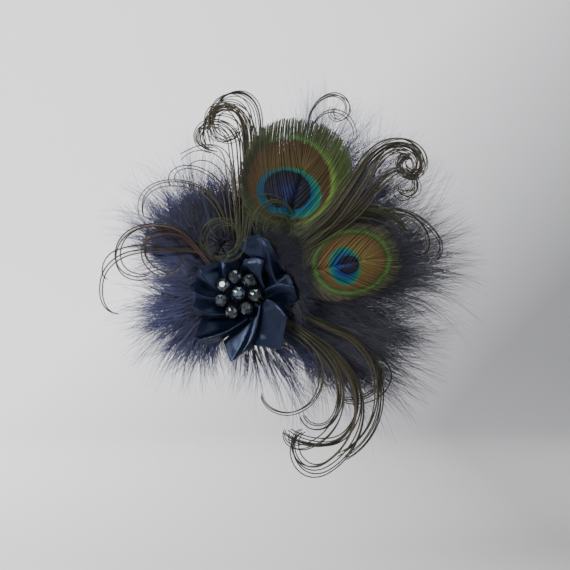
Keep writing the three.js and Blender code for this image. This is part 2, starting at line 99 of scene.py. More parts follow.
@dataclass(frozen=True)
class Layers:
    """Sizes of the hidden core and the depths of the layers on it, in millimetres."""

    clearance: float = 0.3
    base_radius: float = 21.0
    base_thickness: float = 2.0
    hub_radius: float = 8.0
    quill_radius: float = 1.2
    plume_depth: float = 4.1
    herl_depth: float = 8.9
    flower_depth: float = 10.5
    heart_height: float = 5.0
    large_eye_depth: float = 12.0
    small_eye_depth: float = 13.5
    wrap_start: float = 30.0
    wrap_radius: float = 230.0
    back_row_setback: float = 7.2

    @property
    def quill_depth(self) -> float:
        """Depth of the quills where they leave the hub."""
        return self.base_thickness + self.clearance + self.quill_radius

    @property
    def root_radius(self) -> float:
        """Radius at which quills and herl meet the hub."""
        return self.hub_radius + self.clearance


LAYERS = Layers()


def place(x: float, depth: float, z: float) -> Rows:
    """A point from its place across, its depth and its height."""
    return np.array([x, -depth, z])


def polar(radius: float, degrees: float, depth: float = 0.0) -> Rows:
    """A point from its radius and angle in the show plane, and its depth."""
    return place(radius * math.cos(degrees * DEGREE), depth, radius * math.sin(degrees * DEGREE))


def polar_rows(radius: Rows, degrees: Rows, depth: Rows) -> Rows:
    """Points from radii, angles and depths, of which some may be single numbers.

    Args:
        radius: distances from the middle, in millimetres.
        degrees: angles in the show plane.
        depth: depths towards the show side.

    Returns:
        One row for each point.
    """
    angle = degrees * DEGREE
    return np.stack(np.broadcast_arrays(radius * np.cos(angle), -depth, radius * np.sin(angle)), axis=-1)


def ease(low: float, high: float, value: Rows | float) -> Rows | float:
    """A smooth step from 0 at low to 1 at high."""
    share = np.clip((value - low) / (high - low), 0.0, 1.0)
    return share * share * (3 - 2 * share)


def wrap(points: Rows) -> Rows:
    """Bends what lies far from the middle back round the head.

    Args:
        points: rows of x, y and z.

    Returns:
        The bent rows.
    """
    bent = np.array(points, dtype=float)
    beyond = np.maximum(0, np.hypot(bent[..., 0], bent[..., 2]) - LAYERS.wrap_start)
    bent[..., 1] += beyond**2 / (2 * LAYERS.wrap_radius)
    return bent


# Finishes


def dimmed(colour: Colour, factor: float) -> Colour:
    """A colour times a factor."""
    return tuple(factor * part for part in colour)


class NodeGraph:
    """Adds nodes to a node tree and joins them up."""

    def __init__(self, tree: bpy.types.NodeTree) -> None:
        """Takes the tree that the nodes go into."""
        self.tree = tree

    def add(self, kind: str, inputs: dict[int | str, object] | None = None, **settings: object) -> bpy.types.Node:
        """Adds a node, sets its properties and feeds its inputs.

        Args:
            kind: the node's type.
            inputs: a socket to link or a constant to set, for each input.
            settings: the node's own properties.

        Returns:
            The node.
        """
        made = self.tree.nodes.new(kind)
        for name, value in settings.items():
            setattr(made, name, value)
        for index, source in (inputs or {}).items():
            if isinstance(source, Socket):
                self.tree.links.new(source, made.inputs[index])
            else:
                made.inputs[index].default_value = source
        return made

    def math(self, operation: str, *inputs: object, clamp: bool = False) -> Socket:
        """A Math node."""
        return self.add("ShaderNodeMath", dict(enumerate(inputs)), operation=operation, use_clamp=clamp).outputs[0]

    def split(self, vector: Socket) -> bpy.types.Node:
        """A node that gives a vector's X, Y and Z."""
        return self.add("ShaderNodeSeparateXYZ", {0: vector})


class ShaderGraph(NodeGraph):
    """Builds one material's nodes, from a Principled shader outwards."""

    def __init__(self, name: str) -> None:
        """Starts a material with only its shader and output."""
        self.material = bpy.data.materials.new(name)
        self.material.use_nodes = True
        super().__init__(self.material.node_tree)
        self.tree.nodes.clear()
        self.shader = self.add("ShaderNodeBsdfPrincipled")
        self.add("ShaderNodeOutputMaterial", {"Surface": self.shader.outputs[0]})

    def set(self, **values: float | tuple[float, ...]) -> None:
        """Sets constant values on the shader's own sockets; underscores stand for spaces."""
        for name, value in values.items():
            self.shader.inputs[name.replace("_", " ")].default_value = value

    def feed(self, name: str, source: Socket) -> None:
        """Links a source to one of the shader's sockets."""
        self.tree.links.new(source, self.shader.inputs[name])

    def weighted(self, first: tuple[object, float], second: tuple[object, float]) -> Socket:
        """The sum of two values, each times its weight."""
        return self.math("ADD", self.math("MULTIPLY", *first), self.math("MULTIPLY", *second))

    def attribute(self, name: str) -> Socket:
        """The value of a named attribute of the mesh."""
        return self.add("ShaderNodeAttribute", attribute_name=name).outputs["Fac"]

    def here(self) -> Socket:
        """Object coordinates, in metres."""
        return self.add("ShaderNodeTexCoord").outputs["Object"]

    def unwrapped(self) -> Socket:
        """The piece's own UV map."""
        return self.add("ShaderNodeTexCoord").outputs["UV"]

    def mapped(
        self, vector: Socket, location: Triple = (0.0, 0.0, 0.0), turn: float = 0.0, scale: Triple = (1.0, 1.0, 1.0)
    ) -> Socket:
        """Coordinates seen from a place, turned about Y and divided by a scale.

        Args:
            vector: the coordinates to read.
            location: the new origin.
            turn: how far the new frame is turned about Y, in degrees.
            scale: the size of one unit along each new axis.

        Returns:
            The new coordinates.
        """
        inputs = {"Vector": vector, "Location": location, "Rotation": (0.0, turn * DEGREE, 0.0), "Scale": scale}
        return self.add("ShaderNodeMapping", inputs, vector_type="TEXTURE").outputs[0]

    def noise(self, vector: Socket, scale: float, detail: float = 2.0, roughness: float = 0.5) -> Socket:
        """A noise value from coordinates in metres."""
        inputs = {"Vector": vector, "Scale": scale, "Detail": detail, "Roughness": roughness}
        return self.add("ShaderNodeTexNoise", inputs).outputs[0]

    def ramp(self, value: object, stops: Stops) -> Socket:
        """Colours along a value from 0 to 1."""
        made = self.add("ShaderNodeValToRGB", {0: value})
        elements = made.color_ramp.elements
        for extra in range(len(stops) - 2):
            elements.new(0.5 + extra * 0.01)
        for element, (position, colour) in zip(elements, stops):
            element.position = position
            element.color = (*colour, 1.0)
        return made.outputs[0]

    def mask(self, value: object, none: float, whole: float) -> Socket:
        """A share of a value: 0 where the value is none and beyond, 1 where it is whole and beyond."""
        return self.ramp(value, tuple(sorted(((none, BLACK), (whole, WHITE)))))

    def mix(self, share: object, first: object, second: object) -> Socket:
        """Mixes two colours."""
        first, second = (part if isinstance(part, Socket) else (*part, 1.0) for part in (first, second))
        return self.add("ShaderNodeMix", {0: share, 6: first, 7: second}, data_type="RGBA").outputs[2]

    def bump(self, height: Socket, depth: float, strength: float) -> None:
        """Gives the surface relief of a depth in metres."""
        inputs = {"Strength": strength, "Distance": depth, "Height": height}
        self.feed("Normal", self.add("ShaderNodeBump", inputs).outputs[0])


@dataclass(frozen=True)
class PlumageFinish:
    """Soft matt feather: a colour that varies from strand to strand and along each one, with painted shade towards
    the root.
    """

    name: str
    dark: Colour
    middle: Colour
    light: Colour
    roughness: float = 0.7
    sheen: float = 0.3
    sheen_colour: Colour = (0.4, 0.42, 0.6)
    root_shade_colour: Colour = (0.02, 0.02, 0.02)
    root_shade_share: float = 0.0

    def build(self) -> Material:
        """The material, which reads the strands' along and tint attributes."""
        graph = ShaderGraph(self.name)
        graph.set(
            Roughness=self.roughness,
            Sheen_Weight=self.sheen,
            Sheen_Tint=(*self.sheen_colour, 1.0),
            Sheen_Roughness=0.5,
        )
        patch = graph.noise(graph.here(), scale=60.0, detail=3.0)
        value = graph.weighted((graph.attribute("tint"), 0.55), (patch, 0.5))
        colour = graph.ramp(value, ((0.12, self.dark), (0.5, self.middle), (0.95, self.light)))
        # Painted shade: each strand darkens towards its root, where the down lies in its own shade.
        if self.root_shade_share > 0:
            near = graph.math("SUBTRACT", 1.0, graph.attribute("along"), clamp=True)
            near = graph.math("POWER", near, 1 / self.root_shade_share)
            colour = graph.mix(near, colour, self.root_shade_colour)
        graph.feed("Base Color", colour)
        return graph.material


@dataclass(frozen=True)
class HerlFinish:
    """Iridescent herl: green by the root, bronze along its length and dark at the tip."""

    name: str
    root: Colour
    body: Colour
    gleam: Colour
    tip: Colour
    green_until: float = 0.3

    def build(self) -> Material:
        """The material, which reads the strands' along and tint attributes."""
        graph = ShaderGraph(self.name)
        graph.set(Roughness=0.45, Metallic=0.2, Specular_IOR_Level=0.4)
        along = graph.attribute("along")
        flecks = graph.noise(graph.here(), scale=900.0, roughness=0.6)
        shade = graph.weighted((graph.attribute("tint"), 0.7), (flecks, 0.4))
        body = graph.ramp(shade, ((0.3, self.body), (0.72, self.gleam), (0.9, self.tip)))
        colour = graph.mix(graph.mask(along, 0.0, self.green_until), self.root, body)
        ends = graph.ramp(along, ((0.72, BLACK), (1.0, dimmed(WHITE, 0.75))))
        graph.feed("Base Color", graph.mix(ends, colour, self.tip))
        return graph.material


@dataclass(frozen=True)
class Zone:
    """An oval of an eye's pattern: its middle and half sizes across and along the feather."""

    x: float
    z: float
    across: float
    along: float


LIME_STOPS: Stops = ((0.44, (0.020, 0.036, 0.010)), (0.48, (0.056, 0.108, 0.022)), (0.52, (0.020, 0.034, 0.010)))
BRONZE_STOPS: Stops = ((0.2, (0.040, 0.027, 0.007)), (0.55, (0.058, 0.040, 0.010)), (0.9, (0.066, 0.055, 0.016)))
TEAL_STOPS: Stops = ((0.5, (0.003, 0.020, 0.11)), (0.8, (0.003, 0.066, 0.075)), (0.98, (0.006, 0.11, 0.055)))
NAVY_STOPS: Stops = ((0.05, (0.006, 0.010, 0.060)), (0.4, (0.005, 0.006, 0.020)), (0.97, (0.002, 0.002, 0.004)))
DULL_LIME: Colour = (0.014, 0.016, 0.008)
BRIGHT_LIME: Colour = (0.13, 0.21, 0.035)
LIME_FLUE: Colour = (0.09, 0.15, 0.03)
RUST: Colour = (0.048, 0.024, 0.010)
DIM_TEAL: Colour = (0.004, 0.022, 0.06)


@dataclass(frozen=True)
class EyeFinish:
    """The pattern of a peacock eye, set out in the show plane."""

    name: str
    heading: float
    green: Zone
    bronze: Zone
    teal: Zone
    heart: Zone
    notch: float
    shade: float = 0.0
    glow: float = 1.0
    lime: float = 1.0
    fringe: tuple[Colour, Colour, Colour] = ((0.006, 0.010, 0.004), (0.020, 0.030, 0.010), (0.065, 0.070, 0.030))

    def spot(self, graph: ShaderGraph, zone: Zone) -> bpy.types.Node:
        """A node whose X and Z are the place across and along a zone, as shares of its half sizes."""
        size = (zone.across * MM, 1.0, zone.along * MM)
        return graph.split(graph.mapped(graph.here(), (zone.x * MM, 0.0, zone.z * MM), 90 - self.heading, size))

    def distance(self, graph: ShaderGraph, zone: Zone, ragged: Socket) -> Socket:
        """How far out a point is from a zone's middle.

        Args:
            graph: the material being built.
            zone: the oval.
            ragged: a small value that frays the edge.

        Returns:
            The distance as a share of the oval, 1 at its edge.
        """
        spot = self.spot(graph, zone)
        squares = [graph.math("POWER", graph.math("ABSOLUTE", spot.outputs[axis]), 2.0) for axis in ("X", "Z")]
        return graph.math("ADD", graph.math("SQRT", graph.math("ADD", *squares)), ragged)

    def cut(self, graph: ShaderGraph, ragged: Socket) -> Socket:
        """The notch at the heart's lower end, 1 inside it."""
        spot = self.spot(graph, self.heart)
        sides = graph.math("MULTIPLY", graph.math("ABSOLUTE", spot.outputs["X"]), 1 / self.notch)
        depth = graph.math("SUBTRACT", ragged, spot.outputs["Z"])
        return graph.math("GREATER_THAN", graph.math("SUBTRACT", depth, sides), 0.25)

    def one_side(self, graph: ShaderGraph, zone: Zone, slope: float, start: float) -> Socket:
        """A share that grows across a zone.

        Args:
            graph: the material being built.
            zone: the oval.
            slope: how fast the share grows across the feather, less than 0 towards its left.
            start: the share at the zone's middle.

        Returns:
            The share, 0 to 1.
        """
        return graph.math("MULTIPLY_ADD", self.spot(graph, zone).outputs["X"], slope, start, clamp=True)

    def rim(self, graph: ShaderGraph, ragged: object, streak: object) -> Socket:
        """The colour of the fringe and of the lime ring inside it."""
        ring = graph.math("MULTIPLY", self.distance(graph, self.green, ragged), 0.5)
        pale = self.one_side(graph, self.green, -1.1 * self.lime, 0.1)
        bright = graph.math("MULTIPLY", self.one_side(graph, self.green, 2.0 * self.lime, -0.95), 0.5)
        lime = graph.mix(pale, graph.ramp(ring, LIME_STOPS), DULL_LIME)
        lime = graph.mix(bright, lime, BRIGHT_LIME)
        flue = graph.ramp(streak, tuple(zip((0.2, 0.5, 0.85), self.fringe)))
        flue = graph.mix(graph.math("MULTIPLY", bright, 0.4), flue, LIME_FLUE)
        return graph.mix(graph.mask(ring, 0.5, 0.55), lime, flue)

    def bronze_oval(self, graph: ShaderGraph, colour: object, ragged: object, streak: object) -> Socket:
        """The colour with the bronze oval on it, rusty towards its edge."""
        far = self.distance(graph, self.bronze, ragged)
        tan = graph.ramp(streak, tuple((at, dimmed(shade, self.glow)) for at, shade in BRONZE_STOPS))
        tan = graph.mix(graph.mask(far, 0.55, 1.0), tan, dimmed(RUST, self.glow))
        return graph.mix(graph.mask(far, 1.0, 0.95), colour, tan)

    def teal_pool(self, graph: ShaderGraph, colour: object, ragged: object) -> Socket:
        """The colour with the teal pool on it."""
        far = self.distance(graph, self.teal, ragged)
        dim = graph.math("MULTIPLY", self.one_side(graph, self.teal, -0.7, 0.2), self.shade)
        teal = graph.mix(dim, graph.ramp(far, TEAL_STOPS), DIM_TEAL)
        return graph.mix(graph.mask(far, 1.02, 0.96), colour, teal)

    def navy_heart(self, graph: ShaderGraph, colour: object, ragged: object) -> Socket:
        """The colour with the notched navy heart on it."""
        far = self.distance(graph, self.heart, ragged)
        kept = graph.math("SUBTRACT", graph.mask(far, 1.01, 0.96), self.cut(graph, ragged), clamp=True)
        return graph.mix(kept, colour, graph.ramp(far, NAVY_STOPS))

    def build(self) -> Material:
        """The material, from the outside of the pattern inwards."""
        graph = ShaderGraph(self.name)
        graph.set(Roughness=0.55, Specular_IOR_Level=0.2)
        tint = graph.attribute("tint")
        ragged = graph.weighted((tint, 0.05), (graph.noise(graph.here(), scale=500.0), 0.06))
        ragged = graph.math("SUBTRACT", ragged, 0.055)
        streak = graph.weighted((tint, 0.6), (graph.noise(graph.here(), scale=420.0), 0.5))
        colour = self.rim(graph, ragged, streak)
        colour = self.bronze_oval(graph, colour, ragged, streak)
        colour = self.teal_pool(graph, colour, ragged)
        colour = self.navy_heart(graph, colour, ragged)
        graph.feed("Base Color", graph.mix(graph.math("MULTIPLY", tint, 0.25), colour, BLACK))
        return graph.material


@dataclass(frozen=True)
class SatinFinish:
    """Satin ribbon: a close weave with a long soft highlight across it, and painted shade in the valleys of its
    folds.
    """

    name: str
    colour: Colour
    sheen_colour: Colour
    threads: float = 60.0

    def build(self) -> Material:
        """The material, which reads the ribbon's UV map, in centimetres."""
        graph = ShaderGraph(self.name)
        graph.set(
            Roughness=0.2,
            Anisotropic=0.5,
            Sheen_Weight=0.02,
            Sheen_Roughness=0.35,
            Sheen_Tint=(*self.sheen_colour, 1.0),
            Specular_IOR_Level=0.45,
            Specular_Tint=(0.46, 0.58, 1.0, 1.0),
        )
        threads = {"Vector": graph.unwrapped(), "Scale": self.threads, "Distortion": 1.5}
        weave = graph.add("ShaderNodeTexWave", threads, wave_type="BANDS", bands_direction="Y").outputs["Fac"]
        folds = graph.noise(graph.here(), scale=140.0, detail=3.0, roughness=0.55)
        # Painted shade: the base colour is darker in the low places of the fold noise, which also gives the relief
        # below.
        graph.feed("Base Color", graph.ramp(folds, ((0.3, dimmed(self.colour, 0.6)), (0.7, self.colour))))
        graph.bump(graph.weighted((weave, 0.12), (folds, 0.9)), depth=0.0006, strength=0.3)
        return graph.material


@dataclass(frozen=True)
class GlassFinish:
    """Dark faceted glass with a thin metal coat; some facets are painted lighter, as painted glints of light
    reflected by the coat.
    """

    name: str
    colour: Colour
    glints: Stops = ((0.62, (0.014, 0.018, 0.018)), (0.86, (0.030, 0.035, 0.034)), (1.0, (0.07, 0.10, 0.16)))

    def build(self) -> Material:
        """The material, which reads each facet's random value for its painted glint."""
        graph = ShaderGraph(self.name)
        graph.set(Specular_IOR_Level=0.5, Specular_Tint=(0.85, 0.93, 1.0, 1.0))
        # Painted glints: the facets with the highest random values take lighter, bluer colours as painted
        # reflections.
        graph.feed("Base Color", graph.ramp(graph.attribute("facet"), ((0.3, self.colour), *self.glints)))
        graph.feed("Roughness", graph.math("MULTIPLY_ADD", graph.noise(graph.here(), scale=2600.0), 0.1, 0.02))
        return graph.material


@dataclass(frozen=True)
class FeltFinish:
    """Wool felt: matted fibres with a little fuzz."""

    name: str
    dark: Colour
    light: Colour

    def build(self) -> Material:
        """The material."""
        graph = ShaderGraph(self.name)
        graph.set(Roughness=0.95, Sheen_Weight=0.4, Sheen_Roughness=0.6, Sheen_Tint=(*self.light, 1.0))
        stretched = graph.mapped(graph.here(), scale=(1.0, 1.0, 0.35))
        fibres = graph.noise(stretched, scale=1500.0, detail=5.0, roughness=0.7)
        shade = graph.weighted((fibres, 0.65), (graph.noise(graph.here(), scale=160.0), 0.35))
        graph.feed("Base Color", graph.ramp(shade, ((0.35, self.dark), (0.65, self.light))))
        graph.bump(fibres, depth=0.0004, strength=0.9)
        return graph.material


@dataclass(frozen=True)
class PlasticFinish:
    """Polished plastic with faint handling marks."""

    name: str
    colour: Colour

    def build(self) -> Material:
        """The material."""
        graph = ShaderGraph(self.name)
        graph.set(Specular_IOR_Level=0.55)
        stretched = graph.mapped(graph.here(), scale=(0.25, 1.0, 1.0))
        marks = graph.noise(stretched, scale=900.0, detail=4.0, roughness=0.65)
        graph.feed("Base Color", graph.ramp(marks, ((0.3, self.colour), (0.75, dimmed(self.colour, 2.2)))))
        graph.feed("Roughness", graph.math("MULTIPLY_ADD", marks, 0.3, 0.14))
        graph.bump(marks, depth=0.00004, strength=0.5)
        return graph.material


@dataclass(frozen=True)
class ThreadFinish:
    """Twisted sewing thread."""

    name: str
    colour: Colour

    def build(self) -> Material:
        """The material, with a twist that reads Object coordinates."""
        graph = ShaderGraph(self.name)
        graph.set(Roughness=0.6, Sheen_Weight=0.3)
        twist = graph.noise(graph.mapped(graph.here(), scale=(0.3, 1.0, 1.0)), scale=2500.0)
        graph.feed("Base Color", graph.ramp(twist, ((0.35, dimmed(self.colour, 0.5)), (0.65, self.colour))))
        graph.bump(twist, depth=0.0001, strength=0.7)
        return graph.material


@dataclass(frozen=True)
class BackdropFinish:
    """Plain pale paper with painted shade, darker to the right and towards the floor.

    across and down are how much darker it gets with each metre, and start how dark it is at the origin.
    """

    name: str
    colour: Colour
    shaded: float = 0.26
    across: float = 2.0
    down: float = 2.2
    start: float = 0.3

    def build(self) -> Material:
        """The material."""
        graph = ShaderGraph(self.name)
        graph.set(Roughness=0.9)
        here = graph.split(graph.here())
        fall = graph.weighted((here.outputs["X"], self.across), (here.outputs["Z"], -self.down))
        share = graph.math("ADD", fall, self.start, clamp=True)
        graph.feed("Base Color", graph.ramp(share, ((0.0, self.colour), (1.0, dimmed(self.colour, self.shaded)))))
        return graph.material


class Finish(Enum):
    """The finishes of the fascinator."""

    MARABOU = PlumageFinish(
        name="marabou",
        dark=(0.012, 0.013, 0.030),
        middle=(0.031, 0.034, 0.104),
        light=(0.104, 0.113, 0.285),
        sheen=0.2,
        root_shade_colour=(0.006, 0.006, 0.014),
        root_shade_share=0.55,
    )
    MAUVE_MARABOU = PlumageFinish(
        name="mauve_marabou",
        dark=(0.014, 0.013, 0.019),
        middle=(0.040, 0.038, 0.056),
        light=(0.125, 0.115, 0.135),
        sheen=0.2,
        root_shade_colour=(0.007, 0.007, 0.013),
        root_shade_share=0.45,
    )
    # A darker copy of the marabou, for down that lies under and between other pieces and inside the coil: painted
    # shade.
    SHADED_MARABOU = PlumageFinish(
        name="shaded_marabou",
        dark=(0.004, 0.004, 0.008),
        middle=(0.010, 0.010, 0.021),
        light=(0.030, 0.029, 0.052),
        sheen=0.1,
    )
    HERL = HerlFinish(
        name="bronze_herl",
        root=(0.008, 0.017, 0.006),
        body=(0.006, 0.006, 0.003),
        gleam=(0.062, 0.052, 0.028),
        tip=(0.010, 0.008, 0.005),
        green_until=0.4,
    )
    COPPER = HerlFinish(
        name="copper_herl",
        root=(0.028, 0.014, 0.011),
        body=(0.014, 0.008, 0.006),
        gleam=(0.062, 0.034, 0.024),
        tip=(0.014, 0.011, 0.007),
        green_until=0.5,
    )
    COIL = HerlFinish(
        name="olive_herl",
        root=(0.008, 0.010, 0.004),
        body=(0.004, 0.005, 0.003),
        gleam=(0.040, 0.050, 0.014),
        tip=(0.012, 0.012, 0.006),
    )
    LARGE_EYE = EyeFinish(
        name="peacock_eye_large",
        heading=79.0,
        green=Zone(24.6, 56.0, 22.6, 22.6),
        bronze=Zone(25.2, 55.2, 21.0, 21.4),
        teal=Zone(24.9, 49.5, 16.4, 13.0),
        heart=Zone(24.2, 51.0, 12.0, 10.0),
        notch=0.22,
        shade=1.0,
        glow=0.8,
    )
    SMALL_EYE = EyeFinish(
        name="peacock_eye_small",
        heading=12.0,
        green=Zone(56.0, 15.5, 15.8, 19.5),
        bronze=Zone(56.0, 15.5, 13.9, 17.0),
        teal=Zone(52.5, 13.2, 9.8, 8.0),
        heart=Zone(54.5, 14.0, 4.8, 5.5),
        notch=0.45,
        glow=1.5,
        lime=0.0,
        fringe=((0.010, 0.010, 0.006), (0.030, 0.030, 0.016), (0.085, 0.080, 0.050)),
    )
    SATIN = SatinFinish(name="satin", colour=(0.0022, 0.0034, 0.009), sheen_colour=(0.20, 0.32, 0.55))
    GLASS = GlassFinish(name="dark_glass", colour=(0.004, 0.005, 0.006))
    FELT = FeltFinish(name="felt", dark=(0.010, 0.011, 0.022), light=(0.035, 0.038, 0.065))
    PLASTIC = PlasticFinish(name="comb_plastic", colour=(0.006, 0.006, 0.007))
    THREAD = ThreadFinish(name="thread", colour=(0.05, 0.055, 0.10))
    BACKDROP = BackdropFinish(name="backdrop", colour=(0.74, 0.74, 0.76))


# Meshes and node trees


def link_object(name: str, data: bpy.types.ID) -> Piece:
    """Puts a new object with the given data in the scene."""
    made = bpy.data.objects.new(name, data)
    bpy.context.scene.collection.objects.link(made)
    return made


def shade(mesh: Mesh, smooth: bool) -> None:
    """Makes every face smooth or flat."""
    mesh.polygons.foreach_set("use_smooth", [smooth] * len(mesh.polygons))
    mesh.update()


def grid_quads(rows: int, columns: int, around: bool) -> Rows:
    """The quads of a grid of points, with its last column joined to its first where it goes around."""
    index = np.arange(rows * columns).reshape(rows, columns)
    right = np.roll(index, -1, axis=1)
    if not around:
        index, right = index[:, :-1], right[:, :-1]
    return np.stack([index[:-1], right[:-1], right[1:], index[1:]], axis=-1).reshape(-1, 4)


def grid_mesh(name: str, points: Rows, uv: Rows | None = None) -> Mesh:
    """An open mesh from a grid of points.

    Args:
        name: the mesh's name.
        points: an array of rows by columns by 3, in millimetres.
        uv: an array of rows by columns by 2.

    Returns:
        The mesh, in metres.
    """
    quads = grid_quads(*points.shape[:2], around=False)
    mesh = bpy.data.meshes.new(name)
    mesh.from_pydata((points.reshape(-1, 3) * MM).tolist(), [], quads.tolist())
    if uv is not None:
        layer = mesh.uv_layers.new(name="ribbon")
        layer.data.foreach_set("uv", uv.reshape(-1, 2)[quads.reshape(-1)].astype(np.float32).reshape(-1))
    shade(mesh, True)
    return mesh


def tube_mesh(name: str, tubes: list[Rows]) -> Mesh:
    """A mesh of closed tubes, each through its own rings of points and with a cap on each end.

    Args:
        name: the mesh's name.
        tubes: an array of rings by sides by 3 for each tube, in millimetres.

    Returns:
        The mesh, in metres.
    """
    points, faces = [], []
    for rings in tubes:
        first, (count, sides) = len(points), rings.shape[:2]
        last = (count - 1) * sides
        caps = [list(reversed(range(sides))), list(range(last, last + sides))]
        faces += [[first + index for index in face] for face in grid_quads(count, sides, around=True).tolist() + caps]
        points.extend(rings.reshape(-1, 3) * MM)
    mesh = bpy.data.meshes.new(name)
    mesh.from_pydata(np.array(points).tolist(), [], faces)
    shade(mesh, True)
    return mesh


def point_outwards(piece: Piece) -> None:
    """Turns a closed piece's faces outwards by the sign of its volume."""
    mesh = piece.data
    mesh.calc_loop_triangles()
    volume = 0.0
    for triangle in mesh.loop_triangles:
        a, b, c = (mesh.vertices[i].co for i in triangle.vertices)
        volume += a.dot(b.cross(c))
    if volume < 0:
        mesh.flip_normals()


def store(mesh: Mesh, name: str, values: Rows | list, domain: str = "POINT") -> None:
    """Stores numbers, or rows of three, as an attribute of a mesh."""
    rows = np.asarray(values, dtype=np.float32)
    kind, key = ("FLOAT_VECTOR", "vector") if rows.ndim > 1 else ("FLOAT", "value")
    mesh.attributes.new(name, kind, domain).data.foreach_set(key, rows.reshape(-1))


def bake(subject: Piece) -> Piece:
    """Turns an object with modifiers into a plain mesh.

    Args:
        subject: the object, whose modifiers are applied and removed.

    Returns:
        The same object with a plain mesh.
    """
    graph = bpy.context.evaluated_depsgraph_get()
    shaped = subject.evaluated_get(graph)
    plain = bpy.data.meshes.new_from_object(shaped, preserve_all_data_layers=True, depsgraph=graph)
    plain.name = subject.name
    old = subject.data
    subject.modifiers.clear()
    subject.data = plain
    bpy.data.meshes.remove(old)
    return subject


class NodeRecipe(NodeGraph):
    """Builds a geometry node tree with named inputs."""

    def __init__(self, name: str) -> None:
        """Starts a tree that takes and gives geometry."""
        super().__init__(bpy.data.node_groups.new(name, "GeometryNodeTree"))
        self.tree.interface.new_socket("Geometry", in_out="INPUT", socket_type="NodeSocketGeometry")
        self.tree.interface.new_socket("Geometry", in_out="OUTPUT", socket_type="NodeSocketGeometry")
        self.entry = self.add("NodeGroupInput")
        self.exit = self.add("NodeGroupOutput")

    def size(self, name: str, kind: str = "NodeSocketFloat") -> Socket:
        """A named input of the tree."""
        self.tree.interface.new_socket(name, in_out="INPUT", socket_type=kind)
        return self.entry.outputs[name]

    def vector(self, operation: str, first: object, second: object = None) -> Socket:
        """A Vector Math node of one or two vectors."""
        inputs = {0: first} if second is None else {0: first, 1: second}
        return self.add("ShaderNodeVectorMath", inputs, operation=operation).outputs["Vector"]

    def scaled(self, vector: object, amount: object) -> Socket:
        """A vector times a number."""
        return self.add("ShaderNodeVectorMath", {0: vector, "Scale": amount}, operation="SCALE").outputs["Vector"]

    def blend(self, share: Socket, first: object, second: object) -> Socket:
        """A vector between two others."""
        return self.add("ShaderNodeMix", {0: share, 4: first, 5: second}, data_type="VECTOR").outputs[1]

    def named(self, name: str, kind: str = "FLOAT") -> Socket:
        """The value of a named attribute."""
        return self.add("GeometryNodeInputNamedAttribute", {"Name": name}, data_type=kind).outputs[0]

    def direction(self, name: str) -> Socket:
        """The rows of a named attribute."""
        return self.named(name, "FLOAT_VECTOR")

    def store(self, geometry: object, name: str, value: object, kind: str = "FLOAT") -> Socket:
        """Geometry with a value stored on its points."""
        inputs = {"Geometry": geometry, "Name": name, "Value": value}
        return self.add("GeometryNodeStoreNamedAttribute", inputs, data_type=kind, domain="POINT").outputs[0]

    def finish(self, geometry: Socket, material: Socket) -> bpy.types.NodeTree:
        """Ends the tree in realized instances with their material."""
        real = self.add("GeometryNodeRealizeInstances", {0: geometry}).outputs[0]
        dressed = self.add("GeometryNodeSetMaterial", {"Geometry": real, "Material": material}).outputs[0]
        self.tree.links.new(dressed, self.exit.inputs[0])
        return self.tree


def run_tree(subject: Piece, tree: bpy.types.NodeTree, **inputs: object) -> Piece:
    """Runs a node tree on an object and keeps the plain mesh.

    Args:
        subject: the object that carries the tree's points or lines.
        tree: the node tree.
        inputs: the tree's inputs by name, with underscores for spaces.

    Returns:
        The object with the resulting mesh.
    """
    modifier = subject.modifiers.new(tree.name, "NODES")
    modifier.node_group = tree
    sockets = {item.name: item.identifier for item in tree.interface.items_tree if item.in_out == "INPUT"}
    for name, value in inputs.items():
        modifier[sockets[name.replace("_", " ")]] = value
    subject.update_tag()
    return bake(subject)


@dataclass
class Strands:
    """Control points and widths of fine tapered strands, in millimetres."""

    root: Rows
    bend: Rows
    sweep: Rows
    tip: Rows
    width: Rows
    tint: Rows

    def __len__(self) -> int:
        """How many strands there are."""
        return len(self.width)

    @staticmethod
    def joined(sets: list["Strands"]) -> "Strands":
        """Several sets as one."""
        names = ("root", "bend", "sweep", "tip", "width", "tint")
        return Strands(*(np.concatenate([getattr(one, name) for one in sets]) for name in names))

    def wrapped(self) -> "Strands":
        """The same strands, bent back round the head."""
        bent = (wrap(rows) for rows in (self.root, self.bend, self.sweep, self.tip))
        return Strands(*bent, self.width, self.tint)

    def mesh(self, name: str) -> Mesh:
        """A mesh with one point for each strand, which carries its control points."""
        made = bpy.data.meshes.new(name)
        made.vertices.add(len(self))
        made.vertices.foreach_set("co", (self.root * MM).reshape(-1))
        for key in ("root", "bend", "sweep", "tip", "width"):
            store(made, key, getattr(self, key) * MM)
        store(made, "tint", self.tint)
        return made


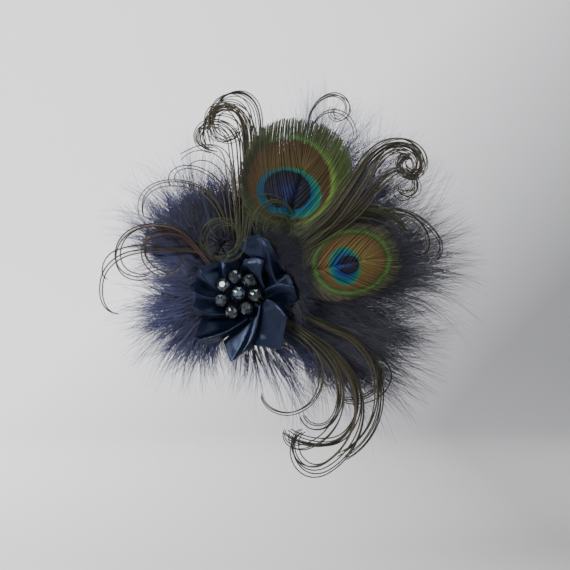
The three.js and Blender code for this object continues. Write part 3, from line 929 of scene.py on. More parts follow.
def strand_tree() -> bpy.types.NodeTree:
    """A tree that grows one tapered strand from each point, along a curve of four control points.

    Returns:
        The tree, with inputs for its sides, steps, taper, flatness and frizz.
    """
    recipe = NodeRecipe("tapered_strands")
    sides, steps = (recipe.size(name, "NodeSocketInt") for name in ("Sides", "Steps"))
    names = ("Tip Share", "Flatness", "Frizz", "Frizz Scale", "Seed")
    tip_share, flatness, frizz, frizz_scale, seed = (recipe.size(name) for name in names)
    material = recipe.size("Material", "NodeSocketMaterial")
    tube = recipe.add(
        "GeometryNodeMeshCylinder",
        {"Vertices": sides, "Side Segments": steps, "Radius": 1.0, "Depth": 1.0},
        fill_type="NGON",
    ).outputs["Mesh"]
    at = recipe.add("GeometryNodeInputPosition").outputs[0]
    height = recipe.split(at).outputs["Z"]
    tube = recipe.store(tube, "along", recipe.math("ADD", height, 0.5))
    tube = recipe.store(tube, "ring", at, "FLOAT_VECTOR")
    copies = recipe.add("GeometryNodeInstanceOnPoints", {"Points": recipe.entry.outputs[0], "Instance": tube})
    real = recipe.add("GeometryNodeRealizeInstances", {0: copies.outputs[0]}).outputs[0]
    along = recipe.named("along")
    controls = [recipe.direction(name) for name in ("root", "bend", "sweep", "tip")]
    first, second, third = (recipe.blend(along, *pair) for pair in zip(controls, controls[1:]))
    near, far = recipe.blend(along, first, second), recipe.blend(along, second, third)
    centre = recipe.blend(along, near, far)
    forward = recipe.vector("NORMALIZE", recipe.vector("SUBTRACT", far, near))
    side = recipe.vector("NORMALIZE", recipe.vector("CROSS_PRODUCT", forward, tuple(FRONT)))
    lift = recipe.vector("CROSS_PRODUCT", side, forward)
    taper = recipe.math("POWER", along, 1.4)
    taper = recipe.math("MULTIPLY", taper, recipe.math("SUBTRACT", 1.0, tip_share))
    width = recipe.math("MULTIPLY", recipe.named("width"), recipe.math("SUBTRACT", 1.0, taper))
    ring = recipe.split(recipe.direction("ring"))
    across = recipe.math("MULTIPLY", ring.outputs["X"], width)
    deep = recipe.math("MULTIPLY", recipe.math("MULTIPLY", ring.outputs["Y"], width), flatness)
    phase = recipe.math("ADD", seed, recipe.math("MULTIPLY", recipe.named("tint"), 2.5))
    wave = recipe.add(
        "ShaderNodeTexNoise",
        {"Vector": centre, "W": phase, "Scale": frizz_scale, "Detail": 1.0},
        noise_dimensions="4D",
    ).outputs["Color"]
    wave = recipe.vector("SUBTRACT", wave, (0.5, 0.5, 0.5))
    wave = recipe.scaled(wave, recipe.math("MULTIPLY", frizz, along))
    moved = recipe.vector("ADD", recipe.vector("ADD", centre, wave), recipe.scaled(side, across))
    moved = recipe.vector("ADD", moved, recipe.scaled(lift, deep))
    shaped = recipe.add("GeometryNodeSetPosition", {"Geometry": real, "Position": moved}).outputs[0]
    smooth = recipe.add("GeometryNodeSetShadeSmooth", {"Geometry": shaped}).outputs[0]
    return recipe.finish(smooth, material)


def herl_tree() -> bpy.types.NodeTree:
    """A tree that turns lines into herl: a thin core with a row of barbules on each side.

    Returns:
        The tree, with inputs for the barbules' spacing, length, width and lean.
    """
    recipe = NodeRecipe("herl_barbules")
    names = ("Core Step", "Barbule Spacing", "Barbule Length", "Barbule Width", "Barbule Lean")
    step, spacing, length, width, lean = (recipe.size(name) for name in names)
    seed = recipe.size("Seed", "NodeSocketInt")
    material = recipe.size("Material", "NodeSocketMaterial")
    lines = recipe.add("GeometryNodeMeshToCurve", {0: recipe.entry.outputs[0]}).outputs[0]
    even = recipe.add("GeometryNodeResampleCurve", {"Curve": lines, "Length": step}, mode="LENGTH").outputs[0]
    even = recipe.add("GeometryNodeSetCurveRadius", {"Curve": even, "Radius": recipe.named("width")}).outputs[0]
    ring = recipe.add("GeometryNodeCurvePrimitiveCircle", {"Resolution": 4, "Radius": 1.0}).outputs[0]
    inputs = {"Curve": even, "Profile Curve": ring, "Fill Caps": True}
    sweep = recipe.add("GeometryNodeCurveToMesh", inputs)
    if "Scale" in sweep.inputs:
        recipe.tree.links.new(recipe.named("width"), sweep.inputs["Scale"])
    core = recipe.add("GeometryNodeSetShadeSmooth", {"Geometry": sweep.outputs[0]}).outputs[0]
    fine = recipe.add("GeometryNodeResampleCurve", {"Curve": lines, "Length": spacing}, mode="LENGTH").outputs[0]
    tangent = recipe.add("GeometryNodeInputTangent").outputs[0]
    fine = recipe.store(fine, "heading", tangent, "FLOAT_VECTOR")
    points = recipe.add("GeometryNodeCurveToPoints", {"Curve": fine}, mode="EVALUATED").outputs["Points"]
    forward = recipe.direction("heading")
    side = recipe.vector("NORMALIZE", recipe.vector("CROSS_PRODUCT", forward, tuple(FRONT)))
    order = recipe.add("GeometryNodeInputIndex").outputs[0]
    parity = recipe.math("SUBTRACT", recipe.math("MULTIPLY", recipe.math("MODULO", order, 2.0), 2.0), 1.0)
    stray = recipe.add(
        "FunctionNodeRandomValue",
        {0: (-0.35, -0.5, -0.35), 1: (0.35, 0.5, 0.35), "Seed": seed},
        data_type="FLOAT_VECTOR",
    ).outputs[0]
    aim = recipe.vector("ADD", recipe.scaled(forward, lean), recipe.scaled(side, parity))
    aim = recipe.vector("ADD", aim, stray)
    turn = recipe.add("FunctionNodeAlignRotationToVector", {"Vector": aim}, axis="Z").outputs[0]
    spine = recipe.add(
        "GeometryNodeMeshCone",
        {"Vertices": 3, "Side Segments": 1, "Radius Top": 0.0, "Radius Bottom": 1.0, "Depth": 1.0},
        fill_type="NGON",
    ).outputs["Mesh"]
    reach = recipe.add("FunctionNodeRandomValue", {2: 0.6, 3: 1.15, "Seed": seed}, data_type="FLOAT").outputs[1]
    reach = recipe.math("MULTIPLY", length, recipe.math("MULTIPLY", reach, recipe.named("fuzz")))
    size = recipe.add("ShaderNodeCombineXYZ", {0: width, 1: width, 2: reach}).outputs[0]
    barbs = recipe.add(
        "GeometryNodeInstanceOnPoints", {"Points": points, "Instance": spine, "Rotation": turn, "Scale": size}
    ).outputs[0]
    both = recipe.add("GeometryNodeJoinGeometry")
    for part in (core, barbs):
        recipe.tree.links.new(part, both.inputs[0])
    return recipe.finish(both.outputs[0], material)


def stitch_tree() -> bpy.types.NodeTree:
    """A tree that lays one short stitch on each point, turned to its own direction.

    Returns:
        The tree, with inputs for the stitch's length and thickness.
    """
    recipe = NodeRecipe("stitches")
    length = recipe.size("Stitch Length")
    thick = recipe.size("Stitch Thickness")
    material = recipe.size("Material", "NodeSocketMaterial")
    arc = recipe.add(
        "GeometryNodeCurvePrimitiveBezierSegment",
        {"Resolution": 5, "Start": (-0.5, 0.0, 0.0), "Start Handle": (-0.35, 0.0, 0.55),
         "End Handle": (0.35, 0.0, 0.55), "End": (0.5, 0.0, 0.0)},
    ).outputs[0]
    ring = recipe.add("GeometryNodeCurvePrimitiveCircle", {"Resolution": 6, "Radius": thick}).outputs[0]
    inputs = {"Curve": arc, "Profile Curve": ring, "Fill Caps": True}
    thread = recipe.add("GeometryNodeCurveToMesh", inputs).outputs[0]
    across, outward = (recipe.direction(name) for name in ("across", "outward"))
    lying = recipe.add("FunctionNodeAlignRotationToVector", {"Vector": across}, axis="X").outputs[0]
    inputs = {"Rotation": lying, "Vector": outward}
    upright = recipe.add("FunctionNodeAlignRotationToVector", inputs, axis="Z", pivot_axis="X")
    copies = recipe.add(
        "GeometryNodeInstanceOnPoints",
        {"Points": recipe.entry.outputs[0], "Instance": thread, "Rotation": upright.outputs[0], "Scale": length},
    ).outputs[0]
    return recipe.finish(copies, material)


class Workshop:
    """Holds the node trees and the materials, and fixes the finished pieces to the object."""

    def __init__(self) -> None:
        """Builds each tree once; materials are made when they are first needed."""
        self.materials: dict[Finish, Material] = {}
        self.strands = strand_tree()
        self.herl = herl_tree()
        self.stitches = stitch_tree()

    def material(self, finish: Finish) -> Material:
        """The material of a finish."""
        if finish not in self.materials:
            self.materials[finish] = finish.value.build()
        return self.materials[finish]

    def grow(
        self,
        name: str,
        strands: Strands,
        finish: Finish,
        sides: int = 3,
        steps: int = 4,
        tip_share: float = 0.25,
        flatness: float = 0.8,
        frizz: float = 0.0,
        frizz_scale: float = 90.0,
        seed: float = 1.0,
    ) -> Piece:
        """Grows strands from their control points.

        Args:
            name: the piece's name.
            strands: the control points.
            finish: what the strands are finished in.
            sides: faces round a strand.
            steps: faces along a strand.
            tip_share: width at the tip as a share of the width at the root.
            flatness: thickness as a share of width.
            frizz: how far the tips stray, in millimetres.
            frizz_scale: how quickly the stray changes from place to place.
            seed: the seed of the stray.

        Returns:
            The piece.
        """
        made = link_object(name, strands.mesh(name))
        run_tree(
            made,
            self.strands,
            Sides=sides,
            Steps=steps,
            Tip_Share=tip_share,
            Flatness=flatness,
            Frizz=frizz * MM,
            Frizz_Scale=frizz_scale,
            Seed=seed,
            Material=self.material(finish),
        )
        for spare in ("root", "bend", "sweep", "tip", "ring", "width"):
            if spare in made.data.attributes:
                made.data.attributes.remove(made.data.attributes[spare])
        return made

    def sew(
        self, name: str, points: list[Rows], across: list[Rows], length: float, thickness: float
    ) -> Piece:
        """Lays one short stitch on each point of a face that looks back.

        Args:
            name: the piece's name.
            points: the stitches' middles, in millimetres.
            across: the stitches' directions.
            length: a stitch's length, in millimetres.
            thickness: the thread's radius, in millimetres.

        Returns:
            The piece.
        """
        mesh = bpy.data.meshes.new(name)
        mesh.from_pydata((np.array(points) * MM).tolist(), [], [])
        store(mesh, "across", across)
        store(mesh, "outward", [place(0.0, -1.0, 0.0)] * len(points))
        return run_tree(
            link_object(name, mesh),
            self.stitches,
            Stitch_Length=length * MM,
            Stitch_Thickness=thickness / length,
            Material=self.material(Finish.THREAD),
        )

    def closed(self, name: str, tubes: list[Rows], finish: Finish) -> Piece:
        """A closed piece of one finish, from the rings of its tubes."""
        made = link_object(name, tube_mesh(name, tubes))
        point_outwards(made)
        return self.dress(made, finish)

    def dress(self, piece: Piece, finish: Finish) -> Piece:
        """Gives a piece one material."""
        piece.data.materials.clear()
        piece.data.materials.append(self.material(finish))
        return piece

    def mount(self, piece: Piece, slot: str, *nodes: str) -> Piece:
        """Fixes a finished piece to the object.

        Args:
            piece: the piece.
            slot: not used.
            nodes: the plain solids that it stands for.

        Returns:
            The piece.
        """
        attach(piece, "root")
        if nodes:
            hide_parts(*nodes)
        LOG.info("%s: %d faces, for %s", piece.name, len(piece.data.polygons), ", ".join(nodes) or "no solid")
        return piece


# Marabou


@dataclass(frozen=True)
class TuftStyle:
    """How the tufts of one layer of down lie.

    size is how many strands make a tuft, start and length are ranges as shares of the reach, sway and stray how
    far whole tufts and single strands bend aside in degrees, limit the share of the reach that no strand passes,
    and width half a strand's usual width in millimetres.
    """

    size: int
    start: Pair
    length: Pair
    sway: float
    stray: float
    limit: float
    width: float


LENGTH_RANGE: Pair = (0.7, 1.1)
WIDTH_RANGE: Pair = (0.6, 1.2)

NEAR_DOWN = TuftStyle(8, (0.1, 0.4), (0.28, 0.5), 9.0, 3.4, 0.8, 0.2)
OUTER_DOWN = TuftStyle(8, (0.26, 0.56), (0.28, 0.46), 8.0, 2.0, 0.94, 0.165)
WISPY_ENDS = TuftStyle(7, (0.28, 0.55), (0.42, 0.62), 7.0, 1.4, 1.06, 0.125)


@dataclass
class MarabouPlume:
    """One downy plume that fans out from its quill.

    reach holds the tips' distances across the fan as shares of length, and row is 1 for the back row. fan is
    how many degrees the down spreads beyond the fan on each side, turn_power how soon it turns from the quill's
    angle to its own, and edge_drop how much shorter it is at the fan's edges.
    """

    name: str
    angle: float
    first: float
    last: float
    row: int
    reach: tuple[float, ...]
    seed: int
    down: int
    wisps: int
    fan: Pair
    finish: Finish = Finish.MARABOU
    length: float = 100.0
    half_depth: float = 3.4
    turn_power: float = 0.36
    edge_drop: float = 0.2
    quill_width: float = 0.9

    def bearing(self, share: Rows, across: Rows) -> Rows:
        """The angle of the plume's flow at a share of its reach, for places across the fan."""
        start, stop = self.first - self.fan[0], self.last + self.fan[1]
        end = start + (stop - start) * across
        return self.angle + (end - self.angle) * np.clip(share, 0.0, 1.2) ** self.turn_power

    def flow(self, across: Rows, start: Rows, stop: Rows, drift: Rows,
             depth: Rows, width: Rows, tint: Rows) -> Strands:
        """Strands that follow the plume's flow.

        Args:
            across: places across the fan, 0 to 1.
            start: shares of the reach where the strands begin.
            stop: shares where they end.
            drift: how far each strand's tip strays, in degrees.
            depth: depths off the plume's middle, as shares of half_depth.
            width: half the strands' widths at the root, in millimetres.
            tint: each strand's place in the range of colours.

        Returns:
            The strands.
        """
        table = np.linspace(0, 1, len(self.reach))
        edge = 1 - self.edge_drop * np.abs(2 * across - 1) ** 6
        far = self.length * np.interp(across, table, self.reach) * edge
        settle = LAYERS.plume_depth - self.row * LAYERS.back_row_setback
        points = []
        for third in range(4):
            share = start + (stop - start) * third / 3
            turn = drift * (third / 3) ** 2
            body = np.sin(np.pi * np.clip(share, 0.05, 0.95)) ** 0.6
            lie = settle + depth * self.half_depth * body
            lie = lie + (LAYERS.quill_depth - settle) * (1 - ease(0.1, 0.5, share))
            points.append(polar_rows(far * share, self.bearing(share, across) + turn, lie))
        return Strands(*points, width, tint)

    def tufts(self, rng: Rng, count: int, style: TuftStyle) -> Strands:
        """Strands in tufts that start together and part towards their tips.

        Args:
            rng: the plume's random numbers.
            count: how many strands in all.
            style: how the tufts lie.

        Returns:
            The strands.
        """
        tuft = np.repeat(np.arange(count // style.size), style.size)
        whole, total = count // style.size, len(tuft)
        begin = rng.uniform(*style.start, whole)[tuft] + rng.normal(0, 0.025, total)
        end = begin + rng.uniform(*style.length, whole)[tuft] * rng.uniform(*LENGTH_RANGE, total)
        return self.flow(
            np.clip(rng.random(whole)[tuft] + rng.normal(0, 0.011, total), -0.02, 1.02),
            np.clip(begin, 0.1, 0.8),
            np.minimum(end, style.limit - 0.06 * rng.random(total)),
            rng.normal(0, style.sway, whole)[tuft] + rng.normal(0, style.stray, total),
            np.clip(rng.uniform(-1, 1, whole)[tuft] + rng.normal(0, 0.15, total), -1, 1),
            style.width * rng.uniform(*WIDTH_RANGE, total),
            np.clip(0.6 * rng.random(whole)[tuft] + 0.4 * rng.random(total), 0, 1),
        )

    def strands(self) -> Strands:
        """The plume's down and its long wispy ends."""
        rng = np.random.default_rng(self.seed)
        layers = ((self.down // 2, NEAR_DOWN), (self.down // 2, OUTER_DOWN), (self.wisps, WISPY_ENDS))
        return Strands.joined([self.tufts(rng, count, style) for count, style in layers]).wrapped()

    def quill(self) -> Strands:
        """The bare quill by the hub."""
        reaches = (0, 6, 12, 20)
        rows = [np.array([polar(LAYERS.root_radius + out, self.angle, LAYERS.quill_depth)]) for out in reaches]
        return Strands(*rows, width=np.array([self.quill_width]), tint=np.array([0.9]))

    def build(self, shop: Workshop) -> Piece:
        """Grows the plume in place of its solid."""
        strands = Strands.joined([self.strands(), self.quill()])
        made = shop.grow(self.name + "_down", strands, self.finish, frizz=2.0, seed=self.seed, tip_share=0.2)
        return shop.mount(made, "marabou", self.name)


@dataclass
class ShortDown:
    """Short dense down that radiates from a point and closes the gaps between longer feathers.

    start, length and depth are ranges in millimetres, turn is the range of angles in the show plane, and climb is
    how far the tips rise towards the show side.
    """

    name: str
    count: int
    seed: int
    start: Pair
    length: Pair
    depth: Pair
    turn: Pair = (0.0, 360.0)
    middle: Pair = (0.0, 0.0)
    climb: float = 0.0
    sway: float = 14.0
    finish: Finish = Finish.MARABOU
    tuft_size: int = 6
    width: float = 0.19

    def build(self, shop: Workshop) -> Piece:
        """Grows the down."""
        rng = np.random.default_rng(self.seed)
        whole = self.count // self.tuft_size
        tuft = np.repeat(np.arange(whole), self.tuft_size)
        total = len(tuft)
        angle = rng.uniform(*self.turn, whole)[tuft] + rng.normal(0, 3, total)
        begin = rng.uniform(*self.start, whole)[tuft]
        span = rng.uniform(*self.length, whole)[tuft] * rng.uniform(*LENGTH_RANGE, total)
        sway = rng.normal(0, self.sway, whole)[tuft] + rng.normal(0, 5, total)
        lie = rng.uniform(*self.depth, whole)[tuft] + rng.normal(0, 0.4, total)
        middle = place(self.middle[0], 0.0, self.middle[1])
        rows = [
            middle + polar_rows(begin + span * t, angle + sway * t**2, lie + self.climb * t)
            for t in (0.0, 1 / 3, 2 / 3, 1.0)
        ]
        tint = np.clip(0.5 * rng.random(whole)[tuft] + 0.3 * rng.random(total), 0, 1)
        strands = Strands(*rows, self.width * rng.uniform(*WIDTH_RANGE, total), tint).wrapped()
        made = shop.grow(self.name, strands, self.finish, frizz=1.6, frizz_scale=110.0, seed=self.seed, tip_share=0.2)
        return shop.mount(made, "marabou")


# Down in the darker marabou finish is painted shade, where it lies under and between other pieces and inside the
# coil.
SHORT_DOWN = (
    ShortDown("hub_down", 1350, 18, (12.0, 26.0), (16.0, 30.0), (2.6, 6.6), (-64.0, 238.0)),
    ShortDown("crest_down", 960, 19, (18.0, 44.0), (14.0, 22.0), (3.0, 8.0), (68.0, 108.0), sway=5.0,
        finish=Finish.SHADED_MARABOU),
    ShortDown("upper_left_down", 1500, 37, (26.0, 42.0), (14.0, 22.0), (3.0, 7.5), (106.0, 150.0), sway=6.0,
        finish=Finish.SHADED_MARABOU),
    ShortDown("flower_down", 540, 20, (19.0, 27.0), (10.0, 18.0), (8.6, 10.8), (32.0, 64.0), climb=6.5, sway=8.0,
        finish=Finish.SHADED_MARABOU),
    ShortDown("cheek_down", 480, 38, (25.5, 30.5), (7.0, 11.0), (10.6, 12.6), (-14.0, 34.0), climb=3.5, sway=10.0,
        finish=Finish.SHADED_MARABOU),
    ShortDown("left_down", 420, 39, (14.0, 25.0), (12.0, 20.0), (4.5, 8.0), (148.0, 208.0), sway=7.0),
    ShortDown("coil_down", 300, 34, (0.5, 4.0), (4.0, 7.0), (10.5, 12.5), middle=(-9.0, 24.0),
        finish=Finish.SHADED_MARABOU),
)

PLUMES = (
    MarabouPlume("plume_upper_left", 138, 98, 156, 0, (0.66, 0.7, 0.78, 0.83, 0.8, 0.81, 0.79, 0.74), 11, 2800, 760,
        (27.0, 8.0)),
    MarabouPlume("plume_left", 196, 170, 250, 0, (0.6, 0.64, 0.68, 0.66, 0.66, 0.64, 0.62, 0.58, 0.56), 12, 1600,
        560, (9.0, 9.0)),
    MarabouPlume("plume_lower", 290, 264, 310, 0, (0.5, 0.5, 0.56, 0.68, 0.8, 0.78), 13, 280, 260, (10.0, 6.0)),
    MarabouPlume("plume_lower_right", 334, 318, 357, 1, (0.88, 0.98, 1.06, 1.09, 1.1, 1.09, 1.07, 1.04), 14, 2900,
        1700, (6.0, 4.0), Finish.MAUVE_MARABOU),
    MarabouPlume("plume_right", 6, 1, 22, 0, (1.06, 1.16, 1.22, 1.21, 1.17), 15, 2000, 1900, (5.0, 4.0),
        Finish.MAUVE_MARABOU),
    MarabouPlume("plume_upper_right", 30, 26, 39, 1, (1.1, 1.18, 1.2, 1.16), 16, 1700, 800, (5.0, 6.0),
        Finish.MAUVE_MARABOU),
    MarabouPlume("plume_top", 58, 45, 66, 0, (1.08, 1.12, 1.14, 1.12, 1.05), 17, 2100, 1200, (6.0, 8.0)),
)


# Curled herl


@dataclass(frozen=True)
class HerlLock:
    """A lock of herl: strands that leave the root together and follow the same arcs.

    Each run is a share of the herl's length and a turn in degrees. fan is half the lock's spread where it is
    widest, gather the share of it that is left at the tip, and stray how far single strands turn away.
    """

    heading: float
    lie: float
    tip: float
    strands: int
    runs: tuple[Pair, ...]
    fan: float = 1.5
    gather: float = 0.7
    stray: float = 0.8
    fuzz: float = 1.0
    root: Pair | None = None


@dataclass
class HerlBunch:
    """A bunch of curled herl on one root at the hub.

    rise is the range of shares of the length in which the locks climb to their lie. core is half a strand's
    width, stride the distance between a strand's points, lift how far strands stray in depth, and step, spacing,
    barbule and barb_width are the core's steps and the barbules' distance, length and half width, all in
    millimetres.
    """

    name: str
    angle: float
    locks: tuple[HerlLock, ...]
    seed: int
    rise: Pair = (0.22, 0.45)
    finish: Finish = Finish.HERL
    slot: str = "herl"
    core: float = 0.3
    barbule: float = 0.85
    step: float = 1.5
    spacing: float = 0.36
    barb_width: float = 0.12
    lean: float = 0.9
    stride: float = 1.1
    lift: float = 0.6
    length: float = 100.0
    depth: float = LAYERS.herl_depth

    def route(self, lock: HerlLock, start: Rows, lane: float, rng: Rng) -> Rows:
        """One strand's points, beside the lock's middle and with its own small departures from it.

        Args:
            lock: the lock that the strand belongs to.
            start: where the strand leaves the hub.
            lane: the strand's place across the lock, -1 to 1.
            rng: the bunch's random numbers.

        Returns:
            Rows of x, y and z, a millimetre or so apart.
        """
        reached = sum(share for share, _ in lock.runs)
        grow = 1 + rng.normal(0, 0.012)
        angle = (lock.heading + rng.normal(0, lock.stray)) * DEGREE
        x, z = start[0], start[2]
        lift = rng.uniform(-self.lift, self.lift)
        points = []
        done = 0.0
        for share, turn in lock.runs:
            bend = turn * (1 + rng.normal(0, 0.03 * lock.stray)) * DEGREE
            steps = max(2, round(share * self.length / self.stride))
            stride = share * self.length * grow / steps
            for _ in range(steps):
                ahead = lock.lie * ease(*self.rise, done) + (lock.tip - lock.lie) * ease(self.rise[1], reached, done)
                spread = ease(0.0, 0.4, done) * (1 - (1 - lock.gather) * ease(0.5, 1.0, done / reached))
                aside = lane * lock.fan * spread
                depth = self.depth + ahead + lift * ease(0.1, 0.4, done)
                points.append(place(x + aside * math.sin(angle), depth, z - aside * math.cos(angle)))
                angle += bend / steps / 2
                x += stride * math.cos(angle)
                z += stride * math.sin(angle)
                angle += bend / steps / 2
                done += share / steps
        return np.array(points)

    def lines(self) -> Mesh:
        """All strands as lines that carry width, fuzz, along and tint."""
        rng = np.random.default_rng(self.seed)
        points, edges, values = [], [], {"width": [], "fuzz": [], "along": [], "tint": []}
        for lock in self.locks:
            for lane in np.linspace(-1, 1, lock.strands) if lock.strands > 1 else (0.0,):
                start = polar(LAYERS.root_radius, self.angle + rng.uniform(-4, 4), self.depth)
                if lock.root is not None:
                    start = place(lock.root[0], self.depth, lock.root[1])
                strand = wrap(self.route(lock, start, lane + rng.normal(0, 0.12), rng))
                first, count = len(points), len(strand)
                along = np.linspace(0, 1, count)
                points.extend(strand)
                edges.extend((first + i, first + i + 1) for i in range(count - 1))
                values["width"].extend(self.core * MM * (1 - 0.3 * along**3))
                values["fuzz"].extend(lock.fuzz * (0.6 + 0.4 * ease(0.0, 0.2, along)) * (1 - 0.35 * along**3))
                values["along"].extend(along)
                values["tint"].extend(np.full(count, rng.random()))
        mesh = bpy.data.meshes.new(self.name)
        mesh.from_pydata((np.array(points) * MM).tolist(), edges, [])
        for key, value in values.items():
            store(mesh, key, value)
        return mesh

    def build(self, shop: Workshop, *nodes: str) -> Piece:
        """Makes the bunch in place of its solid.

        Args:
            shop: the workshop.
            nodes: the solids that it stands for.

        Returns:
            The piece.
        """
        made = link_object(self.name + "_herl", self.lines())
        run_tree(
            made,
            shop.herl,
            Core_Step=self.step * MM,
            Barbule_Spacing=self.spacing * MM,
            Barbule_Length=self.barbule * MM,
            Barbule_Width=self.barb_width * MM,
            Barbule_Lean=self.lean,
            Seed=self.seed,
            Material=shop.material(self.finish),
        )
        return shop.mount(made, self.slot, *nodes)


HERLS = (
    HerlBunch("crest", 85, (
        HerlLock(76, 0.3, 0.3, 8, ((0.74, 14), (0.1, 16), (0.08, 38), (0.07, 42), (0.07, 38), (0.07, 30),
            (0.08, 22)), 1.2, 1.0, 1.0),
        HerlLock(80, 0.3, 2, 9, ((0.7, 12), (0.1, 26), (0.08, 42), (0.07, 42), (0.07, 38), (0.07, 30), (0.08, 30)),
            1.8, 0.9, 1.2),
        HerlLock(85, 0.3, 6, 9, ((0.66, 6), (0.09, 14), (0.08, 26), (0.06, 40), (0.05, 50), (0.06, 44), (0.07, 30),
            (0.06, 45), (0.06, 60), (0.06, 60)), 2.2, 0.7, 1.2),
        HerlLock(88, 0.3, 3, 9, ((0.65, 8), (0.07, 30), (0.08, 40), (0.07, 45), (0.06, 50), (0.06, 55), (0.07, 50)),
            2.4, 0.8, 1.2),
    ), 21),
    HerlBunch("brow_high", 97, (
        HerlLock(91, 0.3, 0.3, 2, ((0.45, 7), (0.08, 22), (0.07, 24), (0.08, 35), (0.06, 35), (0.05, 25))),
        HerlLock(90, 0.3, 1, 2, ((0.56, 8), (0.07, 32), (0.07, 45), (0.08, 25), (0.09, 12))),
    ), 22),
    HerlBunch("brow_middle", 109, (
        HerlLock(93, 0.3, 2, 2, ((0.38, 6), (0.09, 28), (0.09, 22), (0.07, 20), (0.06, 22), (0.05, 40), (0.04, 50),
            (0.03, 40))),
    ), 23),
    HerlBunch("brow_low", 122, (
        HerlLock(94, 0.3, 2, 3, ((0.22, 2), (0.15, 24), (0.15, 40), (0.14, 26), (0.06, 18), (0.06, 26), (0.05, 28),
            (0.04, 16), (0.04, 22)), 1.0, 0.6),
    ), 24),
    HerlBunch("copper", 147, (
        HerlLock(126, 3, 3, 3, ((0.28, 6), (0.12, 34), (0.14, 28), (0.07, 22), (0.14, 56), (0.12, 68), (0.06, 24),
            (0.04, 14)), 0.9, 0.5, 0.7, 1.2),
        HerlLock(124, 3, 8, 3, ((0.28, 8), (0.06, 32), (0.14, 38), (0.05, 50), (0.1, 55), (0.06, 22), (0.06, 30),
            (0.06, 60), (0.06, 50)), 0.9, 0.5, 0.8, 1.1),
        HerlLock(126, 3, 3, 2, ((0.14, 0), (0.1, 50), (0.26, 10), (0.1, 22), (0.08, 24), (0.08, 30), (0.06, 12),
            (0.06, 26), (0.05, 34), (0.04, 30)), 0.5, 0.6, 0.5, 1.0),
        HerlLock(126, 3, 4, 1, ((0.18, 0), (0.12, 52), (0.22, 8), (0.12, 16), (0.06, 34), (0.06, 30), (0.04, 40),
            (0.03, 70)), 0.5, 0.6, 0.5, 1.0),
    ), 25, finish=Finish.COPPER, slot="copper_herl", core=0.36, barbule=1.3),
    HerlBunch("coil", 134, (
        HerlLock(122, 12.6, 17, 4, ((0.16, 0), (0.07, -32), (0.28, -180), (0.28, -180), (0.31, -180), (0.22, -150)),
            0.9, 0.9, 3.0, 0.9),
    ), 26, rise=(0.16, 0.38), finish=Finish.COIL, core=0.18, barbule=0.85),
    HerlBunch("scroll", 42, (
        HerlLock(36, 6, 12, 22, ((0.45, 4), (0.12, 14), (0.24, 4), (0.09, -14), (0.08, -24), (0.13, -62),
            (0.06, -40), (0.05, -40), (0.04, -45), (0.04, -48), (0.05, -50), (0.04, -55), (0.04, -60)), 4.6, 0.25,
            0.5, 0.8),
        HerlLock(35, 6, 4, 8, ((0.5, -3), (0.12, 15), (0.12, 5), (0.11, -8), (0.06, -22), (0.06, -42), (0.05, -38),
            (0.04, -32), (0.04, -45), (0.04, -45), (0.03, -45), (0.03, -50)), 2.6, 0.4, 0.9, 0.8),
    ), 27, rise=(0.22, 0.34)),
    HerlBunch("cheek", 27, (
        HerlLock(31, 0.6, 1, 4, ((0.25, 4), (0.36, -6), (0.17, -26), (0.15, -33), (0.14, -27), (0.04, -23),
            (0.05, -30), (0.04, -30)), 1.6, 0.6),
        HerlLock(31, 0.6, 4, 3, ((0.25, 4), (0.36, -6), (0.17, -26), (0.15, -45), (0.1, -28), (0.05, -28),
            (0.06, -64), (0.07, -80)), 1.2, 0.6),
    ), 28),
    HerlBunch("fall_outer", 351, (
        HerlLock(-20, 2, 2, 7, ((0.39, -6), (0.07, 3), (0.17, -31), (0.12, -23), (0.15, -21), (0.16, -26),
            (0.17, -30)), 2.0, 0.6),
        HerlLock(-20, 2, -0.4, 5, ((0.39, -6), (0.07, 3), (0.08, -16), (0.18, -8), (0.1, -70), (0.1, -38),
            (0.15, -45)), 1.5, 0.7),
    ), 29, core=0.36, barbule=1.0),
    HerlBunch("fall_long", 337, (
        HerlLock(-31, 2.5, 3, 7, ((0.4, -4), (0.2, -24), (0.18, -36), (0.15, -37), (0.11, -44), (0.14, -25),
            (0.08, -16)), 1.8, 0.8),
        HerlLock(-31, 2.5, 7, 6, ((0.4, -4), (0.2, -24), (0.17, -30), (0.19, -32), (0.17, -30), (0.06, -31),
            (0.06, -39), (0.13, -58), (0.08, -60)), 2.4, 0.6),
    ), 30, core=0.38, barbule=1.05),
    HerlBunch("fall_inner", 323, (
        HerlLock(-30, 4.5, 6, 5, ((0.24, -2), (0.23, -18), (0.16, -34), (0.16, -38), (0.11, -72), (0.09, -66)), 1.6,
            0.6),
        HerlLock(-30, 4.5, 9.5, 3, ((0.24, -2), (0.12, -6), (0.18, -26), (0.2, -38), (0.14, -30), (0.14, -34),
            (0.06, -40), (0.1, -100)), 1.3, 0.5),
    ), 31, rise=(0.22, 0.34), core=0.34, barbule=1.0),
    HerlBunch("fall_curl", 309, (
        HerlLock(-31, 8, 8, 3, ((0.22, 0), (0.1, -7), (0.15, -36), (0.15, -46), (0.15, -48), (0.12, -50),
            (0.09, -46)), 1.0, 0.4),
    ), 32, rise=(0.22, 0.34)),
)


# Peacock eyes


